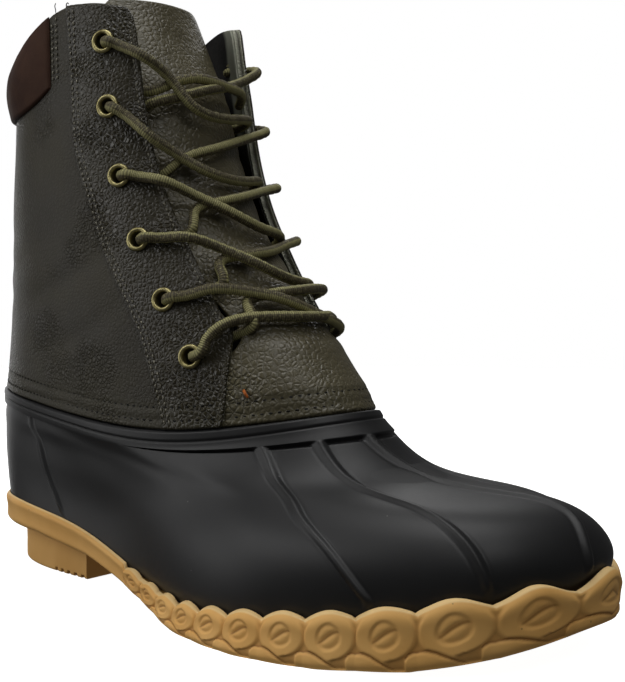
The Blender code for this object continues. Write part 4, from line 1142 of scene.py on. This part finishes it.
# eyelets
def makeEyelets():
    bore, flange = eyeletLook["bore"], eyeletLook["flange"]
    roll = np.linspace(0.0, pi, 9)
    middle, thick = (bore + flange) / 2.0, (flange - bore) / 2.0
    profile = [(bore, -4.0)] + [(middle - thick * math.cos(t), 0.5 + 1.15 * math.sin(t)) for t in roll]
    profile += [
        (flange - 0.1, 0.25), (bore + 0.55, 0.25), (bore + 0.55, -3.8),
        (bore + 0.9, -4.0), (bore + 0.9, -4.3), (bore, -4.3),
    ]
    turns = np.linspace(0.0, 2.0 * pi, 40, endpoint=False)
    ring = np.array([(r * math.cos(a), r * math.sin(a), h) for r, h in profile for a in turns])
    faces = gridFaces(len(profile), len(turns), True, True)
    for side, sign in (("lateral", -1.0), ("medial", 1.0)):
        for number, (row, share) in enumerate(eyeletPlaces, start=1):
            angle = sign * float(angleOf(share))
            centre, axis = skin(angle, row, shaftLook["stay"]), Vector(skinNormal(angle, row))
            turn = np.array(axis.to_track_quat("Z", "Y").to_matrix())
            points = ring @ turn.T + centre
            nodes = [f"eyelet_{side}_{number}"]
            newPiece(f"ring_{side}_{number}", points, faces, paints["brass"], nodes)


makeEyelets()
print("eyelets ready")

# lace
laceLook = {
    "diameter": 4.3, "sides": 16, "step": 0.9, "seat": 0.4, "clear": 1.0, "beside": 0.045, "inside": 0.042,
    "dip": 6.5, "under": -4.8, "besideUnder": 0.006, "braid": 0.09,
    "tailStart": 0.74, "barRise": ((0.045, 0.12), (0.083, 0.27)), "barMiddle": 0.38,
}
laceHalf = laceLook["diameter"] / 2.0
# strands, top first: drop at its own edge of the throat, then places over the tongue (share of the depth,
# share of the drop, lift) and the drop where it goes under the other edge
outerStrands = [
    (0.22, ((-0.938, 0.50, 3.6), (-0.974, 1.00, 2.6), (0.994, 1.12, 0.8)), 1.03),
    (0.46, ((-0.935, 0.73, 3.6), (-0.972, 0.94, 2.6), (0.990, 1.03, 0.5)), 1.00),
    (0.16, ((-0.948, 0.39, 3.6), (-0.980, 0.58, 2.8), (0.998, 0.84, 0.8)), 0.97),
    (0.06, ((-0.949, 0.23, 3.6), (-0.983, 0.46, 2.8), (0.998, 0.69, 0.5)), 0.80),
    (-0.11, ((-0.943, -0.09, 3.6), (-0.985, 0.03, 2.8), (0.998, 0.30, 0.8)), 0.62),
]
innerStrands = [
    (0.06, ((0.945, 0.30, 2.2), (-0.992, 0.68, 0.6), (-0.945, 0.86, 0.4)), 0.96),
    (0.12, ((0.945, 0.30, 2.2), (-0.988, 0.64, 0.6), (-0.940, 0.82, 0.4)), 0.95),
    (0.06, ((0.945, 0.17, 3.6), (-0.984, 0.45, 1.2), (-0.940, 0.63, 0.4)), 0.86),
    (0.00, ((0.945, 0.08, 2.2), (-0.982, 0.30, 0.6), (-0.940, 0.44, 0.4)), 0.72),
    (-0.10, ((0.950, -0.12, 4.6), (-0.985, -0.08, 1.2), (-0.945, 0.08, 0.4)), 0.42),
]
tailPlaces, tailEnd = ((-0.945, 0.60, 0.0), (-0.985, 0.44, 0.0), (0.996, 0.48, 0.0)), 0.60


def laceSpot(side, share, row, out):
    return skin(side * float(angleOf(share)), row, out)


def overTongue(side, share, row, lift):
    spot = laceSpot(side, share, row, laceHalf + laceLook["clear"] + lift - float(tongueColumn(row, 2)))
    spot[0] -= min(float(tongueColumn(row, 3)), laceLook["dip"])
    return spot


def overStay(side, share, row, lift):
    return laceSpot(side, share, row, shaftLook["stay"] + laceHalf + laceLook["seat"] + lift)


def throatShare(row):
    return float(np.interp(row, throatLine[:, 0], throatLine[:, 1]))


def outOfEyelet(side, place, fall):    # from inside, through the eyelet and over its rim
    row, share = place
    return [
        laceSpot(side, share, row, -5.5),
        laceSpot(side, share + 0.002, row, -1.0),
        laceSpot(side, share + 0.010, row + 0.1 * fall, 2.2),
        overStay(side, share + 0.028, row + 0.5 * fall, 0.8),
    ]


def acrossTongue(places, row, drop):
    route = []
    for share, fall, lift in places:    # the sign of a share tells the side
        route.append(overTongue(math.copysign(1.0, share), abs(share), row + fall * drop, lift))
    return route


def strandRoute(side, number, plan):
    edge, places, under = plan
    (row, share), (nextRow, nextShare) = eyeletPlaces[number], eyeletPlaces[number + 1]
    drop = nextRow - row
    end = row + under * drop
    route = outOfEyelet(side, (row, share), 0.25 * edge * drop)
    route.append(overStay(side, share + laceLook["beside"], row + 0.25 * edge * drop, 0.0))
    route.append(overStay(side, throatShare(row), row + edge * drop, 1.6))
    route += acrossTongue(places, row, drop)
    route.append(overTongue(-side, throatShare(end) + laceLook["inside"], end, 0.3))
    below = throatShare(end) - laceLook["besideUnder"]
    route.append(laceSpot(-side, below, end + 0.3 * (nextRow - end), laceLook["under"]))
    route.append(laceSpot(-side, nextShare + 0.035, end + 0.8 * (nextRow - end), -6.4))
    return route


def tailRoute():    # loose end, across the throat under the first crossing
    (row, share), (nextRow, _) = eyeletPlaces[0], eyeletPlaces[1]
    drop = nextRow - row
    inside = throatShare(row) + laceLook["inside"]
    route = [laceSpot(-1.0, share + 0.03, row + 0.3 * drop, -6.5)]
    below = throatShare(row) - laceLook["besideUnder"]
    route.append(laceSpot(-1.0, below, row + 0.7 * drop, laceLook["under"]))
    route.append(overTongue(-1.0, inside, row + laceLook["tailStart"] * drop, 0.0))
    route += acrossTongue(tailPlaces, row, drop)
    route.append(overTongue(1.0, inside, row + tailEnd * drop, 0.0))
    route.append(laceSpot(1.0, throatShare(row) - 0.02, row + 0.66 * drop, laceLook["under"]))
    return route


def barRoute():    # from one of the lowest eyelets over to the other, starting on the inner side
    row, share = eyeletPlaces[-1]
    inner, outer = ([overStay(side, share + ahead, row + rise, 0.9) for ahead, rise in laceLook["barRise"]]
                    for side in (1.0, -1.0))
    spots = ((1.0, 0.945), (1.0, 0.99), (-1.0, 0.99), (-1.0, 0.945))
    middle = [overTongue(side, place, row + laceLook["barMiddle"], 1.0) for side, place in spots]
    return inner + middle + outer[::-1]


def laceRoute():    # one lace: down one zigzag, across the bar and up the other; its ends stay inside
    zigzags = []
    for start in (-1.0, 1.0):
        route, side = [], start
        for number in range(len(eyeletPlaces) - 1):
            plan = outerStrands[number] if side < 0.0 else innerStrands[number]
            route += strandRoute(side, number, plan)
            side = -side
        zigzags.append(route + outOfEyelet(side, eyeletPlaces[-1], 0.04))
    return tailRoute()[::-1] + zigzags[0] + barRoute() + zigzags[1][::-1]


def tubeAlong(route, step, sides, radius, braid=0.0):    # points, faces, distance along and turn
    route = np.array(route, float)
    run = runOf(route)
    count = max(6, int(run[-1] / step))
    path = through(run, route, np.linspace(0.0, run[-1], count))
    along = runOf(path)
    ahead = np.gradient(path, axis=0)
    ahead /= np.linalg.norm(ahead, axis=1, keepdims=True)
    turns = np.linspace(0.0, 2.0 * pi, sides, endpoint=False)
    across = np.array([0.3, 0.2, 0.9])
    rings = []
    for i in range(count):
        across = across - ahead[i] * np.dot(across, ahead[i])
        across /= np.linalg.norm(across)
        other = np.cross(ahead[i], across)
        end = min(i, count - 1 - i)
        taper = (0.45, 0.85, 1.0)[min(end, 2)]
        size = taper * (radius - braid + braid * np.cos(5.2 * along[i] + turns))
        circle = np.outer(np.cos(turns), across) + np.outer(np.sin(turns), other)
        rings.append(path[i] + size[:, None] * circle)
    faces = gridFaces(count, sides, False, True)
    faces += [list(range(sides)), [(count - 1) * sides + i for i in range(sides)]]
    return np.array(rings).reshape(-1, 3), faces, np.repeat(along, sides), np.tile(turns, count)


def makeLace():
    step, sides, braid = laceLook["step"], laceLook["sides"], laceLook["braid"]
    points, faces, along, turn = tubeAlong(laceRoute(), step, sides, laceHalf, braid)
    print("lace length", round(float(along[-1])), "mm")
    marks = {"along": along, "stripe": np.cos(2.0 * turn + along * 0.012)}
    nodes = [f"lace_cross_{i}" for i in range(1, 6)]
    newPiece("lace", points, faces, paints["lace"], nodes, marks)


makeLace()
print("lace ready")


# stitches
def stitchRow(paths, name, paint, pitch):
    radius, length = stitchLook["radius"], stitchLook["length"]
    turns = np.linspace(0.0, 2.0 * pi, stitchLook["sides"], endpoint=False)
    stations = np.array([0.0, 0.12, 0.5, 0.88, 1.0])
    thick = np.array([0.35, 0.85, 1.0, 0.85, 0.35])
    lift = np.array([-0.35, 0.05, 0.25, 0.05, -0.35])
    points, faces = [], []
    for path, ups in paths:
        run = runOf(path)
        for start in np.arange(pitch / 2.0, run[-1] - length, pitch):
            places = start + stations * length
            spots = np.stack([np.interp(places, run, path[:, k]) for k in range(3)], axis=-1)
            up = np.array([np.interp(places[2], run, ups[:, k]) for k in range(3)])
            ahead = spots[-1] - spots[0]
            ahead /= np.linalg.norm(ahead)
            other = np.cross(ahead, up)
            first = len(points)
            for spot, share, rise in zip(spots, thick, lift):
                middle = spot + up * radius * (rise * 2.0 + 0.35)
                for a in turns:
                    points.append(middle + radius * share * (math.cos(a) * other + math.sin(a) * up))
            sides = len(turns)
            faces += [[first + i for i in face] for face in gridFaces(len(stations), sides, False, True)]
            faces.append([first + i for i in range(sides)])
            faces.append([first + (len(stations) - 1) * sides + i for i in range(sides)])
    newPiece(name, points, faces, paint)


def shaftPath(angle, height, out):
    points = skin(angle, height, out)
    points[:, 2] += topRise(angle, height)
    return points, skinNormal(angle, height)


def footEnd(gap):    # angle where a seam along the leather's foot meets the throat
    return float(lineAngle(throatLine, 7.0 + gap * 0.035))


def makeStitches():
    pale, olive = [], []
    onStay = shaftLook["stay"] - stitchLook["sunk"]
    onQuarter = -stitchLook["drawnIn"]
    rows = np.linspace(7.06, 11.96, 400)
    for sign in (-1.0, 1.0):
        seam, edge = lineAngle(seamLine, rows), lineAngle(throatLine, rows)
        perMm = 1.0 / np.linalg.norm((skin(seam + 0.01, rows) - skin(seam - 0.01, rows)) / 0.02, axis=-1)
        for gap in stitchLook["seamGaps"]:
            pale.append(shaftPath(sign * (seam + gap * perMm), rows, onStay))
        inner = (rows > 8.2) & (rows < 11.8)
        line = sign * (edge - stitchLook["edgeGap"] * perMm)
        pale.append(shaftPath(line[inner], rows[inner], onStay))
        for gap in shaftLook["stitchRows"]:
            start = float(lineAngle(seamLine, 7.2)) - 0.02
            around = sign * np.linspace(0.0, start, 300)
            olive.append(shaftPath(around, rowsAbove(around, gap), onQuarter))
            end = footEnd(gap) - 0.02
            stay = sign * np.linspace(start + 0.03, end, 60)
            olive.append(shaftPath(stay, rowsAbove(stay, gap), onStay))
    for gap in shaftLook["stitchRows"]:
        low = footEnd(gap) + 0.03
        around = np.concatenate([-np.linspace(low, pi, 80), np.linspace(pi, low, 80)[1:]])
        height = rowsAbove(around, gap)
        points = tonguePoint(around, height, np.full(len(around), onQuarter))
        olive.append((points, skinNormal(around, height)))
    padEnd = float(angleOf(padLook["endShare"]))
    for sign in (-1.0, 1.0):
        for gap in stitchLook["padGaps"]:
            height = np.linspace(*stitchLook["padRows"], 60)
            pale.append(shaftPath(np.full(len(height), sign * (padEnd + gap)), height, 0.05))
    stitchRow(pale, "paleStitches", paints["paleThread"], stitchLook["pitch"])
    stitchRow(olive, "oliveStitches", paints["oliveThread"], shaftLook["stitch"])


looseLook = {
    # angle at the collar, then places from its top edge
    "collar": [
        (-1.655, [(0, 0, -0.8), (0.2, -0.2, 0.6), (-0.1, -0.3, 1.8), (0.7, -0.4, 3.0)]),
        (-1.775, [(-0.4, 0, -0.6), (0.1, -0.3, 0.7), (0.9, -0.4, 0.9), (1.7, -0.4, 0.2)]),
    ],
    "tuft": ((0.0, 7.50, 0.2), (0.004, 7.45, 0.9), (0.010, 7.40, 0.2)),    # turn, row, out
    "thin": 0.22, "thick": 0.55,
}


def makeLooseEnds():    # two thread ends at the collar and one at the foot of the eyestay
    ends = []
    for angle, offsets in looseLook["collar"]:
        root = skin(angle, 12.0)
        root[2] += float(topRise(angle, 12.0))
        ends.append((root + np.array(offsets, float), looseLook["thin"], "gusset"))
    edge = -float(lineAngle(throatLine, 7.6)) - 0.055
    turn, row, out = np.array(looseLook["tuft"]).T
    ends.append((tonguePoint(edge - turn, row, out), looseLook["thick"], "orangeThread"))
    for number, (route, radius, paint) in enumerate(ends, start=1):
        points, faces = tubeAlong(route, 0.3, 6, radius)[:2]
        newPiece(f"looseEnd{number}", points, faces, paints[paint])


makeStitches()
makeLooseEnds()
print("stitches ready")

# floor and light
lightLook = {
    "floor": (0.45, 0.45, 0.45, 1.0), "floorGlow": 0.97, "backdrop": 1.0, "room": 1.8,
    "world": (1.0, 1.0, 1.0, 1.0), "worldStrength": 0.09,
    # name, place in metres, aimed at, size, watts
    "lamps": [
        ("overhead", (0.10, -0.10, 1.25), (0.02, 0.0, 0.05), 0.9, 6.3),
        ("backTop", (-0.55, 0.75, 0.85), (0.06, 0.0, 0.05), 0.7, 2.1),
        ("frontLeft", (-0.55, -1.05, 0.85), (0.0, 0.0, 0.10), 0.8, 4.4),
        ("leftLow", (-0.95, -0.85, 0.12), (-0.03, 0.0, 0.06), 0.8, 2.6),
        ("backLeft", (-1.05, 0.40, 0.15), (-0.10, 0.0, 0.06), 0.7, 2.5),
        ("toeSide", (0.90, -0.55, 1.10), (0.08, 0.0, 0.03), 0.5, 2.4),
    ],
}


def stagePiece(name, points, faces, paint):
    mesh = bpy.data.meshes.new(name)
    mesh.from_pydata(points, [], faces)
    mesh.materials.append(paint)
    piece = bpy.data.objects.new(name, mesh)
    bpy.context.scene.collection.objects.link(piece)
    piece.visible_diffuse = False    # kept out of the boot's own light, as with dark cards round a shoe
    piece.visible_glossy = False


def makeStage():
    room = lightLook["room"]
    p = Paint("paleFloor", Roughness=0.7, Specular_IOR_Level=0.1, Emission_Color=(1.0, 1.0, 1.0, 1.0),
              Emission_Strength=lightLook["floorGlow"])
    paint = p.feed(Base_Color=p.mix(p.noise(400.0), lightLook["floor"], (0.94, 0.94, 0.94, 1.0)))
    corners = [(-room, -room, 0.0), (room, -room, 0.0), (room, room, 0.0), (-room, room, 0.0)]
    stagePiece("floor", corners, [(0, 1, 2, 3)], paint)
    p = Paint("paleBackdrop", Base_Color=(0.0, 0.0, 0.0, 1.0), Specular_IOR_Level=0.0,
              Emission_Color=(1.0, 1.0, 1.0, 1.0), Emission_Strength=lightLook["backdrop"])
    turns = np.linspace(0.0, 2.0 * pi, 48, endpoint=False)
    wall = [(room * math.cos(a), room * math.sin(a), z) for z in (-0.2, room) for a in turns]
    stagePiece("backdrop", wall, gridFaces(2, len(turns), False, True), p.material)
    world = bpy.data.worlds.new("studio")
    world.use_nodes = True
    back = world.node_tree.nodes["Background"]
    back.inputs["Color"].default_value = lightLook["world"]
    back.inputs["Strength"].default_value = lightLook["worldStrength"]
    bpy.context.scene.world = world
    for name, place, aim, size, watts in lightLook["lamps"]:
        data = bpy.data.lights.new(name, "AREA")
        data.shape = "DISK"
        data.size = size
        data.energy = watts
        lamp = bpy.data.objects.new(name, data)
        lamp.location = place
        lamp.rotation_euler = (Vector(aim) - Vector(place)).to_track_quat("-Z", "Y").to_euler()
        bpy.context.scene.collection.objects.link(lamp)
    bpy.context.scene.view_settings.view_transform = "Standard"


makeStage()
print("stage ready")
